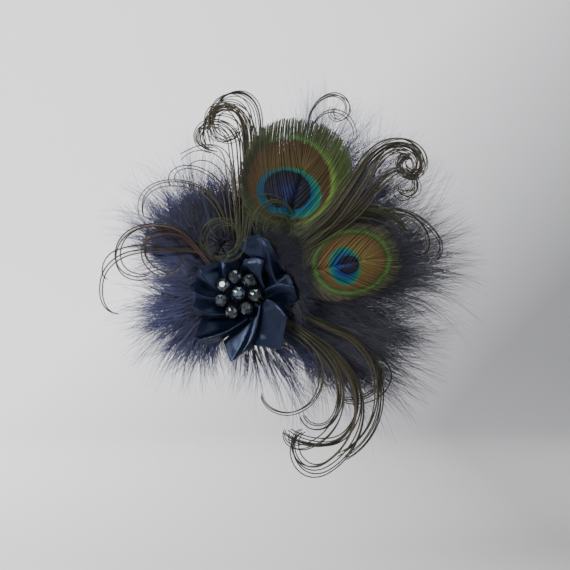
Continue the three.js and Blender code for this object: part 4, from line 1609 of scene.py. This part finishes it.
@dataclass
class PeacockEye:
    """A peacock eye: its stem and the flat flues that carry the pattern.

    The vane starts at foot, and grain is the way its flues lean. spread is the flues' angle to the shaft in
    degrees, crown the share of the length where the last flues leave it, and fringe how ragged the rim is.
    The powers square the rim off at its foot and tip, layers is how far flues lie over each other, and bulge how
    far they stand up between shaft and rim.
    """

    name: str
    angle: float
    foot: Pair
    heading: float
    grain: float
    length: float
    width: float
    depth: float
    finish: Finish
    seed: int
    flues: int = 840
    fringe: float = 4.0
    spread: float = 21.0
    crown: float = 0.55
    foot_power: float = 0.82
    tip_power: float = 0.82
    flue_width: Pair = (0.34, 0.46)
    layers: float = 0.18
    bulge: float = 0.6
    shaft_share: float = 0.62
    stem_width: float = 0.75
    shaft_width: float = 0.5

    def axes(self, degrees: float) -> tuple[Rows, Rows]:
        """Unit vectors along and across a direction in the show plane."""
        angle = degrees * DEGREE
        along = np.array([math.cos(angle), 0.0, math.sin(angle)])
        across = np.array([math.sin(angle), 0.0, -math.cos(angle)])
        return along, across

    def rim(self, turn: Rows, rng: Rng) -> Rows:
        """Points on the vane's rim; turn runs from -1 at the foot over the tip at 0 to 1 at the foot.

        Args:
            turn: places round the rim.
            rng: the eye's random numbers, for the ragged fringe.

        Returns:
            Rows of x, y and z.
        """
        along, across = self.axes(self.heading)
        side, up = np.sin(np.pi * turn), np.cos(np.pi * turn)
        power = np.where(up < 0, self.foot_power, self.tip_power)
        half = (self.width / 2 + 1.0) * np.sign(side) * np.abs(side) ** power
        reach = self.length * (0.5 + 0.5 * np.sign(up) * np.abs(up) ** 0.9)
        out = 1 + self.fringe * rng.random(len(turn)) / self.length
        base = place(self.foot[0], self.depth, self.foot[1])
        middle = self.length / 2
        return base + np.outer(middle + (reach - middle) * out, along) + np.outer(half * out, across)

    def flue_strands(self) -> Strands:
        """The vane's flues, from the shaft to the rim."""
        rng = np.random.default_rng(self.seed)
        turn = np.linspace(-0.985, 0.985, self.flues) + rng.normal(0, 0.002, self.flues)
        tips = self.rim(turn, rng)
        along, across = self.axes(self.grain)
        base = place(self.foot[0], self.depth, self.foot[1])
        offset = tips - base
        up = offset @ along
        out = offset @ across
        reach = np.clip(up - np.abs(out) / math.tan(self.spread * DEGREE), -2.0, self.length * self.crown)
        roots = base + np.outer(reach, along)
        span = tips - roots
        lean = np.tanh(out / (0.2 * self.width))
        sideways = np.outer(lean * 0.1 * np.linalg.norm(span, axis=1), across)
        layer = place(0.0, 1.0, 0.0) * rng.uniform(-self.layers, self.layers, self.flues)[:, None]
        rise = place(0.0, self.bulge, 0.0)
        bend = roots + span * 0.33 + sideways + layer + rise * 0.7
        sweep = roots + span * 0.7 + sideways * 0.8 + layer + rise
        width = rng.uniform(*self.flue_width, self.flues)
        return Strands(roots + layer, bend, sweep, tips + layer, width, rng.random(self.flues))

    def stem(self) -> Strands:
        """The stem from the hub and the shaft up the vane."""
        root = polar(LAYERS.root_radius, self.angle, LAYERS.herl_depth)
        foot = place(self.foot[0], self.depth - 1.1, self.foot[1])
        low = place(self.foot[0], LAYERS.herl_depth, self.foot[1])
        along, _ = self.axes(self.grain)
        top = foot + along * self.length * self.shaft_share
        rows = [
            [root, foot],
            [root + (low - root) * 0.4, foot + along * self.length * 0.2],
            [root + (low - root) * 0.85, foot + along * self.length * 0.42],
            [foot, top],
        ]
        width, tint = np.array([self.stem_width, self.shaft_width]), np.array([0.3, 0.3])
        return Strands(*(np.array(row) for row in rows), width, tint)

    def build(self, shop: Workshop) -> Piece:
        """Grows the flues and the stem in place of the plain vane."""
        vane = self.flue_strands().wrapped()
        made = shop.grow(self.name + "_flues", vane, self.finish, sides=4, steps=8, tip_share=0.36, flatness=0.14,
                         frizz=0.5, frizz_scale=250.0, seed=self.seed)
        shop.mount(made, "peacock_eye", self.name)
        stem = shop.grow(self.name + "_stem", self.stem().wrapped(), Finish.HERL, sides=8, steps=12, tip_share=0.5,
                         flatness=0.9)
        return shop.mount(stem, "peacock_eye")


LARGE_EYE = PeacockEye("peacock_eye_large", 57, (23.0, 30.0), 79, 74, 56, 50, LAYERS.large_eye_depth,
                       Finish.LARGE_EYE, 41)
SMALL_EYE = PeacockEye("peacock_eye_small", 12, (34.0, 10.5), 12, 12, 46, 33, LAYERS.small_eye_depth,
                       Finish.SMALL_EYE, 42, flues=600, spread=34.0, crown=0.6, foot_power=0.5)

LOOSE_FLUES = (
    HerlBunch("eye_tip", 57, (
        HerlLock(60, 3.1, 6.5, 4, ((0.06, 20), (0.09, -26), (0.09, -35), (0.07, -52), (0.07, -59), (0.07, -69),
            (0.06, -105), (0.04, -60)), 1.2, 0.7, 2.0, 0.5, (32.6, 79.5)),
        HerlLock(66, 3.1, 5.0, 2, ((0.05, 0), (0.08, -30), (0.1, -60), (0.08, -40), (0.07, -30)), 0.8, 0.6, 1.0,
            0.4, (34.6, 78.5)),
    ), 33, rise=(-1.0, 0.0)),
    HerlBunch("nest", 57, (
        HerlLock(135, 4.6, 6.6, 4, ((0.236, 180), (0.236, 180), (0.06, 40)), 0.9, 1.0, 4.0, 0.8, (24.8, 36.8)),
        HerlLock(110, 4.6, 6.0, 5, ((0.19, 100), (0.17, 90), (0.1, 60)), 1.4, 1.0, 5.0, 0.8, (27.3, 38.3)),
        HerlLock(150, 4.6, 6.0, 3, ((0.16, 160), (0.17, 170), (0.05, 40)), 1.2, 1.0, 9.0, 0.8, (26.0, 34.0)),
    ), 35, rise=(-1.0, 0.0), finish=Finish.COIL, core=0.18, barbule=0.85),
    HerlBunch("brow_of_small_eye", 30, (
        HerlLock(50, 6.6, 3.4, 12, ((0.11, 0), (0.13, -34), (0.12, -20), (0.14, -18), (0.12, -30)), 2.4, 0.5, 2.0,
            1.5, (31.0, 24.0)),
        HerlLock(38, 6.6, 3.4, 8, ((0.1, 0), (0.16, -24), (0.14, -26)), 3.2, 0.5, 5.0, 1.5, (30.0, 26.0)),
    ), 36, rise=(-1.0, 0.0), finish=Finish.COIL, core=0.26, barbule=1.1),
)


# Satin flower


@dataclass(frozen=True)
class Petal:
    """A folded ribbon petal, set out in the show plane.

    The fold runs from root to the end's middle. The end's rows are a place from -1 at the lip's corner over 0 at
    the fold to 1 at the bowl's corner, and x and z in millimetres. The lip lies on the fold's counterclockwise
    side.
    """

    node: str
    root: Pair
    end: tuple[Triple, ...]
    rise: float
    lip_power: float = 1.0


PETALS = (
    Petal("petal_1", (19.7, 3.2), ((-1, 0.5, 20.7), (-0.75, 2.2, 26.1), (-0.4, 9.2, 29.0), (0, 15.1, 25.7),
        (0.5, 19.7, 17.6), (1, 24.0, 11.0)), 6.2, 2.2),
    Petal("petal_2", (-6.1, 5.1), ((-1, -9.8, 17.0), (0, -4.4, 19.0), (0.3, -1.0, 20.5), (1, 5.0, 18.5)), 3.4),
    Petal("petal_3", (-8.5, 1.0), ((-1, -21.0, 7.0), (0, -19.2, 12.4), (0.35, -14.5, 14.2), (1, -7.0, 16.5)),
        6.0, 1.4),
    Petal("petal_4", (-8.6, -2.5), ((-1, -21.5, -6.5), (0, -23.6, 1.5), (0.3, -24.0, 4.0), (1, -17.5, 9.0)),
        3.6, 1.2),
    Petal("petal_5", (-6.2, -10.5), ((-1, -21.9, -11.0), (0, -22.6, -6.6), (0.35, -21.2, -3.0), (1, -18.0, 3.5)),
        6.2),
    Petal("petal_6", (4.5, -12.5), ((-1, -15.6, -25.8), (0, -18.2, -22.8), (0.4, -21.4, -21.6), (1, -18.0, -12.0)),
        6.4),
    Petal("petal_7", (10.8, -5.5), ((-1, 7.4, -25.8), (0, 2.5, -29.2), (0.45, -3.7, -33.9), (1, -7.5, -24.0)),
        4.6, 1.3),
    Petal("petal_8", (13.7, -3.0), ((-1, 25.2, -10.4), (0, 23.9, -12.9), (0.6, 20.9, -28.1), (1, 7.0, -25.8)),
        6.6, 1.2),
    Petal("petal_9", (12.9, 1.8), ((-1, 25.0, 9.8), (0, 27.5, 2.6), (0.45, 29.2, -2.6), (1, 23.0, -9.2)), 5.6),
    Petal("petal_10", (13.0, 2.5), ((-1, 1.5, 11.5), (-0.6, 2.5, 16.4), (-0.25, 8.5, 17.4), (0, 12.6, 16.2),
        (1, 15.8, 13.5)), 7.4, 2.0),
)

HEART_LEVELS = (
    (0.02, 0.0), (0.35, 0.0), (0.7, 0.0), (0.97, 0.0), (1.03, 0.12), (1.02, 0.3), (0.93, 0.55), (0.78, 0.76),
    (0.58, 0.9), (0.36, 0.98), (0.16, 0.97), (0.02, 0.9),
)


@dataclass
class SatinFlower:
    """The gathered satin flower: its heart and its folded petals.

    lip_share is the share of the columns on a petal's lip, the waists are the widths of lip and bowl at the root as
    shares of those at the end, root_height is the same for the height, and lip_drop is how deep the lip lies. crease,
    bow, sag and picot are how far its folds, its bend, its end and its woven edge stray, in millimetres.
    """

    heart_radius: float = 7.4
    ribbon: float = 25.0
    thickness: float = 0.35
    rows: int = 44
    columns: int = 36
    pleats: int = 18
    pleat_width: float = 0.07
    pleat_rise: float = 0.06
    fold_round: float = 0.07
    lip_share: float = 0.34
    lip_waist: float = 0.22
    lip_drop: float = 0.7
    bowl_waist: float = 0.35
    root_height: float = 0.6
    fold_height: float = 1.35
    crease: float = 0.22
    bow: float = 1.6
    sag: float = 0.7
    picot: float = 0.16
    picots: int = 40
    heart_sides: int = 144

    def surface(self, petal: Petal) -> tuple[Rows, Rows]:
        """The petal's middle surface and its UV map.

        Args:
            petal: the petal's sizes.

        Returns:
            A grid of points in millimetres, and a grid of UV values in centimetres.
        """
        at, x, z = (np.array(column) for column in zip(*petal.end))
        root = place(petal.root[0], 0.0, petal.root[1])
        tip = place(float(np.interp(0, at, x)), 0.0, float(np.interp(0, at, z)))
        run = tip - root
        length = float(np.linalg.norm(run))
        ahead = run / length
        beside = np.array([ahead[2], 0.0, -ahead[0]])
        u = np.linspace(0, 1, self.rows)[:, None]
        v = np.linspace(0, 1, self.columns)[None, :]
        on_lip = v < self.lip_share
        s = np.where(on_lip, v / self.lip_share - 1, (v - self.lip_share) / (1 - self.lip_share))
        edge = np.stack([np.interp(s, at, x), 0 * s, np.interp(s, at, z)], axis=-1) - tip
        lip = self.lip_waist + (1 - self.lip_waist) * u**petal.lip_power
        bowl = self.bowl_waist + (1 - self.bowl_waist) * u**0.8
        aside = edge @ beside * np.where(s < 0, lip, bowl)
        fold = np.sqrt(s**2 + self.fold_round**2) - self.fold_round
        height = self.fold_height * petal.rise * (self.root_height + (1 - self.root_height) * u)
        drop = np.where(s < 0, self.lip_drop * fold**1.3, 1 - (1 - np.clip(fold, 0, 1)) ** 1.25)
        low = LAYERS.flower_depth + 1.0
        crease = self.crease * np.sin(7 * u + 5 * s + petal.root[0]) * ease(0.0, 0.3, np.abs(s))
        depth = low + height * (1 - drop) + crease - self.sag * ease(0.8, 1.0, u)
        picot = self.picot * np.abs(((v * self.picots) % 1.0) * 2 - 1)
        forward = length * u + (edge @ ahead + picot) * ease(0.45, 1.0, u)
        bowed = aside - self.bow * np.sin(np.pi * u)
        points = root + forward[..., None] * ahead + bowed[..., None] * beside + depth[..., None] * FRONT
        uv = np.stack([np.broadcast_to(forward, points.shape[:2]) / 10, (aside + 0 * u) / 10], axis=-1)
        return points, uv

    def finish_ribbon(self, shop: Workshop, piece: Piece, node: str) -> Piece:
        """Finishes a piece in satin.

        Args:
            shop: the workshop.
            piece: the piece, whose mesh has two sides.
            node: the solid that it stands for.

        Returns:
            The piece.
        """
        shop.dress(piece, Finish.SATIN)
        shop.mount(piece, "satin", node)
        return piece

    def build_petal(self, shop: Workshop, petal: Petal) -> Piece:
        """Makes one petal in place of its solid."""
        name = petal.node + "_ribbon"
        made = link_object(name, grid_mesh(name, *self.surface(petal)))
        wall = made.modifiers.new("wall", "SOLIDIFY")
        wall.thickness = self.thickness * MM
        wall.offset = 0.0
        bake(made)
        shade(made.data, True)
        return self.finish_ribbon(shop, made, petal.node)

    def build_heart(self, shop: Workshop) -> Piece:
        """Makes the gathered heart, a pleated dome with a closed back."""
        around = np.linspace(0, 360, self.heart_sides, endpoint=False)
        wave = self.pleats * around * DEGREE
        rings = []
        for share, height in HEART_LEVELS:
            radius = self.heart_radius * share * (1 + self.pleat_width * np.sin(wave) * min(1.0, 3 * height))
            rise = LAYERS.heart_height * height * (1 + self.pleat_rise * np.sin(wave + 0.6))
            rings.append(polar_rows(radius, around, LAYERS.flower_depth + rise))
        made = shop.closed("flower_heart_gathers", [np.array(rings)], Finish.SATIN)
        mesh = made.data
        layer = mesh.uv_layers.new(name="ribbon")
        for loop, corner in zip(mesh.loops, layer.data):
            spot = mesh.vertices[loop.vertex_index].co
            corner.uv = (spot.x / CM, spot.z / CM)
        return self.finish_ribbon(shop, made, "flower_heart")

    def build(self, shop: Workshop) -> None:
        """Makes the whole flower."""
        self.build_heart(shop)
        for petal in PETALS:
            self.build_petal(shop, petal)


# Beads


@dataclass(frozen=True)
class Bead:
    """A faceted bead: its angle and reach round the heart, its table's lean and its share of the lift."""

    angle: float
    reach: float
    tilt: float
    rise: float


BEADS = (
    Bead(0, 0, 10, 1.0),
    Bead(151, 8.16, 18, 0.0),
    Bead(102, 8.16, 12, 0.1),
    Bead(48, 8.16, 24, 0.0),
    Bead(353, 8.08, 16, 0.1),
    Bead(298, 8.48, 28, 0.0),
    Bead(251, 9.76, 14, 0.1),
    Bead(203, 8.8, 20, 0.0),
)

BELTS = ((0.44, -1.0), (0.9, -0.6), (1.0, 0.0), (0.9, 0.6), (0.44, 1.0))


@dataclass
class BeadCluster:
    """Eight faceted beads on the flower's heart.

    They rest at seat_share of the heart's height, and seat_radius is the radius of their solids.
    """

    diameter: float = 6.8
    thickness: float = 5.8
    lift: float = 1.6
    seat_share: float = 0.72
    seat_radius: float = 3.2
    worn: float = 0.07
    sides: int = 8
    seed: int = 60

    @property
    def depth(self) -> float:
        """Depth of the beads' middles before any lift."""
        return LAYERS.flower_depth + LAYERS.heart_height * self.seat_share + self.seat_radius + LAYERS.clearance

    def facets(self) -> tuple[Rows, list[tuple[int, ...]]]:
        """One bead's points and flat facets, with belts that are turned half a side from each other."""
        radius, half = self.diameter / 2, self.thickness / 2
        points = []
        for row, (share, height) in enumerate(BELTS):
            for side in range(self.sides):
                angle = 2 * math.pi * (side + 0.5 * (row % 2)) / self.sides
                points.append((radius * share * math.cos(angle), radius * share * math.sin(angle), half * height))
        faces: list[tuple[int, ...]] = [tuple(reversed(range(self.sides)))]
        for row in range(len(BELTS) - 1):
            low, high = row * self.sides, (row + 1) * self.sides
            for side in range(self.sides):
                after = (side + 1) % self.sides
                if row % 2 == 0:
                    faces.append((low + side, low + after, high + side))
                    faces.append((low + after, high + after, high + side))
                else:
                    faces.append((low + side, low + after, high + after))
                    faces.append((low + side, high + after, high + side))
        faces.append(tuple(range((len(BELTS) - 1) * self.sides, len(BELTS) * self.sides)))
        return np.array(points), faces

    def build(self, shop: Workshop) -> None:
        """Makes each bead in place of its solid."""
        points, faces = self.facets()
        for number, bead in enumerate(BEADS, start=1):
            lean, turn = bead.tilt * DEGREE, bead.angle * DEGREE
            table = Vector((math.sin(lean) * math.cos(turn), -math.cos(lean), math.sin(lean) * math.sin(turn)))
            spin = table.to_track_quat("Z", "Y").to_matrix()
            seat = polar(bead.reach, bead.angle, self.depth + self.lift * bead.rise)
            placed = points @ np.array(spin).T + seat
            mesh = bpy.data.meshes.new(f"bead_{number}_cut")
            mesh.from_pydata((placed * MM).tolist(), [], faces)
            shade(mesh, False)
            # Each facet's random value, which picks its painted glint in the glass finish.
            store(mesh, "facet", np.random.default_rng(self.seed + number).random(len(faces)), "FACE")
            made = link_object(mesh.name, mesh)
            point_outwards(made)
            edge = made.modifiers.new("worn_edges", "BEVEL")
            edge.width = self.worn * MM
            edge.segments = 1
            bake(made)
            shop.dress(made, Finish.GLASS)
            shop.mount(made, "bead", f"bead_{number}")


# Base and comb


@dataclass
class FeltBase:
    """The felt base with its hub and the stitches round its rim."""

    rim_round: float = 0.7
    sides: int = 96
    uneven: float = 0.004
    window: int = 9
    seed: int = 51
    stitches: int = 44
    stitch_length: float = 3.0
    stitch_thickness: float = 0.16
    stitch_inset: float = 2.2
    stitch_lean: float = 24.0

    def profile(self) -> list[tuple[float, float]]:
        """Radius and depth of the base's outline, from its back to the hub's top."""
        big, thick, hub = LAYERS.base_radius, LAYERS.base_thickness, LAYERS.hub_radius
        top = LAYERS.flower_depth - LAYERS.clearance
        soft = self.rim_round
        return [
            (0.02, 0.0), (big * 0.5, 0.0), (big - soft, 0.0), (big - 0.3 * soft, 0.3 * soft),
            (big, thick / 2), (big - 0.3 * soft, thick - 0.3 * soft), (big - soft, thick),
            (big * 0.6, thick), (hub + 0.5, thick), (hub, thick + 0.5), (hub, top / 2), (hub, top - soft),
            (hub - 0.3 * soft, top - 0.3 * soft), (hub - soft, top), (hub * 0.5, top), (0.02, top),
        ]

    def build_felt(self, shop: Workshop) -> Piece:
        """The felt disc and hub, with a slightly uneven edge."""
        around = np.linspace(0, 360, self.sides, endpoint=False)
        stray = np.random.default_rng(self.seed).normal(0, 1, self.sides + self.window - 1)
        smooth = np.convolve(stray, np.ones(self.window) / math.sqrt(self.window), mode="valid")
        rings = []
        for radius, depth in self.profile():
            reach = radius * (1 + self.uneven * smooth if radius > LAYERS.hub_radius + 1 else 1.0)
            rings.append(polar_rows(np.minimum(reach, LAYERS.base_radius), around, depth))
        made = shop.closed("felt_disc", [np.array(rings)], Finish.FELT)
        shop.mount(made, "felt", "felt_base")
        return made

    def build_stitches(self, shop: Workshop) -> Piece:
        """Whip stitches round the back of the rim."""
        angles = [360 * number / self.stitches for number in range(self.stitches)]
        points = [polar(LAYERS.base_radius - self.stitch_inset, angle, 0.02) for angle in angles]
        across = [polar(1.0, angle + self.stitch_lean) for angle in angles]
        made = shop.sew("rim_stitches", points, across, self.stitch_length, self.stitch_thickness)
        return shop.mount(made, "felt")


SPINE_LEVELS = np.array([0.0, 0.06, 0.2, 0.8, 0.94, 1.0])
SPINE_SWELL = np.array([0.55, 0.85, 1.0, 1.0, 0.85, 0.55])
TOOTH_LEVELS = np.array([0.0, 0.12, 0.3, 0.5, 0.7, 0.85, 0.94, 0.985, 1.0])
TOOTH_TAPER = np.array([1.0, 1.0, 0.95, 0.85, 0.72, 0.6, 0.5, 0.36, 0.12])


@dataclass
class HairComb:
    """The hair comb behind the base: a rounded spine, curved teeth and the thread that holds it on."""

    width: float = 36.0
    spine_height: float = 5.0
    thickness: float = 2.2
    top: float = 15.0
    teeth: int = 9
    tooth_width: float = 1.6
    tooth_depth: float = 0.42
    tooth_length: float = 34.0
    tooth_sag: float = 3.0
    spine_sides: int = 32
    tooth_sides: int = 12
    thread: float = 0.17
    thread_gap: float = 0.5
    thread_lean: float = 0.12
    thread_slack: float = 1.6

    @property
    def middle(self) -> float:
        """How far behind the base the comb's middle lies."""
        return LAYERS.clearance + self.thickness / 2

    @property
    def pitch(self) -> float:
        """The distance from one tooth to the next."""
        return (self.width - self.tooth_width * 1.5) / (self.teeth - 1)

    def rod(self, centres: Rows, halves: Rows, sides: int, boxed: bool = False) -> Rows:
        """A rod through centres, with its own half width and half thickness at each.

        Args:
            centres: rows of x, y and z.
            halves: rows of half width and half thickness.
            sides: faces round the rod.
            boxed: whether the section is a long rectangle with round ends, not an oval.

        Returns:
            Its rings of points.
        """
        angle = np.linspace(0, 2 * np.pi, sides, endpoint=False)
        rings = []
        for centre, (wide, deep) in zip(centres, halves):
            straight = (wide - deep) * np.sign(np.cos(angle)) if boxed else 0.0
            x = straight + (deep if boxed else wide) * np.cos(angle)
            rings.append(centre + np.stack([x, deep * np.sin(angle), 0 * angle], axis=-1))
        return np.array(rings)

    def build(self, shop: Workshop) -> Piece:
        """Makes the spine and the teeth as closed rods in one piece."""
        heights = self.top - self.spine_height * (1 - SPINE_LEVELS)
        centres = np.stack([0 * heights, 0 * heights + self.middle, heights], axis=-1)
        halves = np.stack([self.width / 2 - (1 - SPINE_SWELL), self.thickness / 2 * SPINE_SWELL], axis=-1)
        rods = [self.rod(centres, halves, self.spine_sides, boxed=True)]
        drop = self.top - self.spine_height / 2 - self.tooth_length * TOOTH_LEVELS
        sizes = np.outer(TOOTH_TAPER, (self.tooth_width / 2, self.thickness * self.tooth_depth))
        for number in range(self.teeth):
            x = (number - (self.teeth - 1) / 2) * self.pitch
            path = np.stack([x + 0 * drop, self.middle + self.tooth_sag * TOOTH_LEVELS**2, drop], axis=-1)
            rods.append(self.rod(path, sizes, self.tooth_sides))
        return shop.mount(shop.closed("comb", rods, Finish.PLASTIC), "comb", "hair_comb")

    def build_wraps(self, shop: Workshop) -> Piece:
        """The thread over the spine between the teeth, which holds the comb to the base."""
        back = self.middle + self.thickness / 2 - 0.25
        points, across = [], []
        for gap in range(self.teeth - 1):
            x = (gap - (self.teeth - 2) / 2) * self.pitch
            for aside in (-self.thread_gap, 0.0, self.thread_gap):
                points.append(place(x + aside, -back, self.top - self.spine_height / 2))
                across.append(place(self.thread_lean * aside, 0.0, 1.0))
        made = shop.sew("comb_wraps", points, across, self.spine_height + self.thread_slack, self.thread)
        return shop.mount(made, "comb")


# Set, camera and light


WARM: Colour = (1.0, 0.99, 0.97)
COOL: Colour = (0.92, 0.96, 1.0)


@dataclass(frozen=True)
class Lamp:
    """A disc of light: where it stands and what it looks at, its width in metres and its power in watts."""

    name: str
    place: Triple
    size: float
    power: float
    colour: Colour
    target: Triple = (0.02, 0.0, 0.01)

    def build(self) -> None:
        """Hangs the light, which the camera doesn't see."""
        data = bpy.data.lights.new(self.name, "AREA")
        data.shape = "DISK"
        data.size = self.size
        data.energy = self.power
        data.color = self.colour
        made = link_object(self.name, data)
        made.location = self.place
        made.rotation_euler = (Vector(self.target) - Vector(self.place)).to_track_quat("-Z", "Y").to_euler()
        made.visible_camera = False


LAMPS = (
    Lamp("key", (-0.75, -1.0, 0.55), 0.5, 25.0, WARM),
    Lamp("bounce", (0.32, -0.8, -0.5), 0.45, 14.0, COOL),
    Lamp("fill", (0.95, -0.8, 0.35), 0.9, 6.0, COOL),
    Lamp("top", (0.1, 0.1, 1.0), 0.8, 10.0, WHITE),
    Lamp("wall", (-0.4, 0.75, 1.3), 1.0, 30.0, WHITE, (-0.35, 1.7, 0.1)),
    Lamp("rear", (0.5, 0.95, 0.6), 0.7, 8.0, WARM),
)


@dataclass
class Studio:
    """The pale sweep, the camera and the light of the room.

    view_x, view_z and view_width are what the photograph's frame covers at the flower, in millimetres.
    """

    view_x: float = 23.0
    view_z: float = 4.0
    view_width: float = 285.0
    distance: float = 1150.0
    floor_drop: float = 60.0
    sweep_back: float = 1700.0
    sweep_radius: float = 500.0
    sweep_steps: int = 12
    half_width: float = 3600.0
    wall_height: float = 2400.0
    room: Colour = (0.86, 0.88, 0.92)
    room_strength: float = 0.52

    def build_sweep(self, shop: Workshop) -> None:
        """A floor that curves up into a backdrop."""
        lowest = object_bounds()[0].z / MM - self.floor_drop
        bend = self.sweep_back - self.sweep_radius
        path = [(-self.half_width, lowest), (bend, lowest)]
        for step in range(1, self.sweep_steps + 1):
            angle = step / self.sweep_steps * math.pi / 2
            up = self.sweep_radius * (1 - math.cos(angle))
            path.append((bend + self.sweep_radius * math.sin(angle), lowest + up))
        path.append((self.sweep_back, lowest + self.wall_height))
        grid = np.array([[(x, y, z) for y, z in path] for x in (-self.half_width, self.half_width)])
        made = link_object("sweep", grid_mesh("sweep", grid))
        shop.dress(made, Finish.BACKDROP)
        made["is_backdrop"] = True

    def build_camera(self) -> None:
        """The camera, level and square to the show side."""
        data = bpy.data.cameras.new("camera")
        made = link_object("camera", data)
        data.sensor_width = 36.0
        data.lens = data.sensor_width * self.distance / self.view_width
        data.clip_end = 20.0
        made.location = (self.view_x * MM, -self.distance * MM, self.view_z * MM)
        made.rotation_euler = (math.pi / 2, 0.0, 0.0)
        bpy.context.scene.camera = made

    def build(self, shop: Workshop) -> None:
        """Builds the set."""
        self.build_sweep(shop)
        self.build_camera()
        for lamp in LAMPS:
            lamp.build()
        world = bpy.data.worlds.new("soft_room")
        world.use_nodes = True
        background = world.node_tree.nodes["Background"]
        background.inputs["Color"].default_value = (*self.room, 1.0)
        background.inputs["Strength"].default_value = self.room_strength
        bpy.context.scene.world = world


def main() -> None:
    """Builds the pieces in order, from the back to the front."""
    logging.basicConfig(level=logging.INFO, format="%(name)s %(message)s")
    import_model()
    shop = Workshop()
    Studio().build(shop)
    base = FeltBase()
    base.build_felt(shop)
    base.build_stitches(shop)
    comb = HairComb()
    comb.build(shop)
    comb.build_wraps(shop)
    for down in SHORT_DOWN:
        down.build(shop)
    for plume in PLUMES:
        plume.build(shop)
    for bunch in HERLS:
        bunch.build(shop, "herl_" + bunch.name)
    LARGE_EYE.build(shop)
    for bunch in LOOSE_FLUES:
        bunch.build(shop)
    SMALL_EYE.build(shop)
    SatinFlower().build(shop)
    BeadCluster().build(shop)
    LOG.info("all pieces are made")


if __name__ == "__main__":
    main()
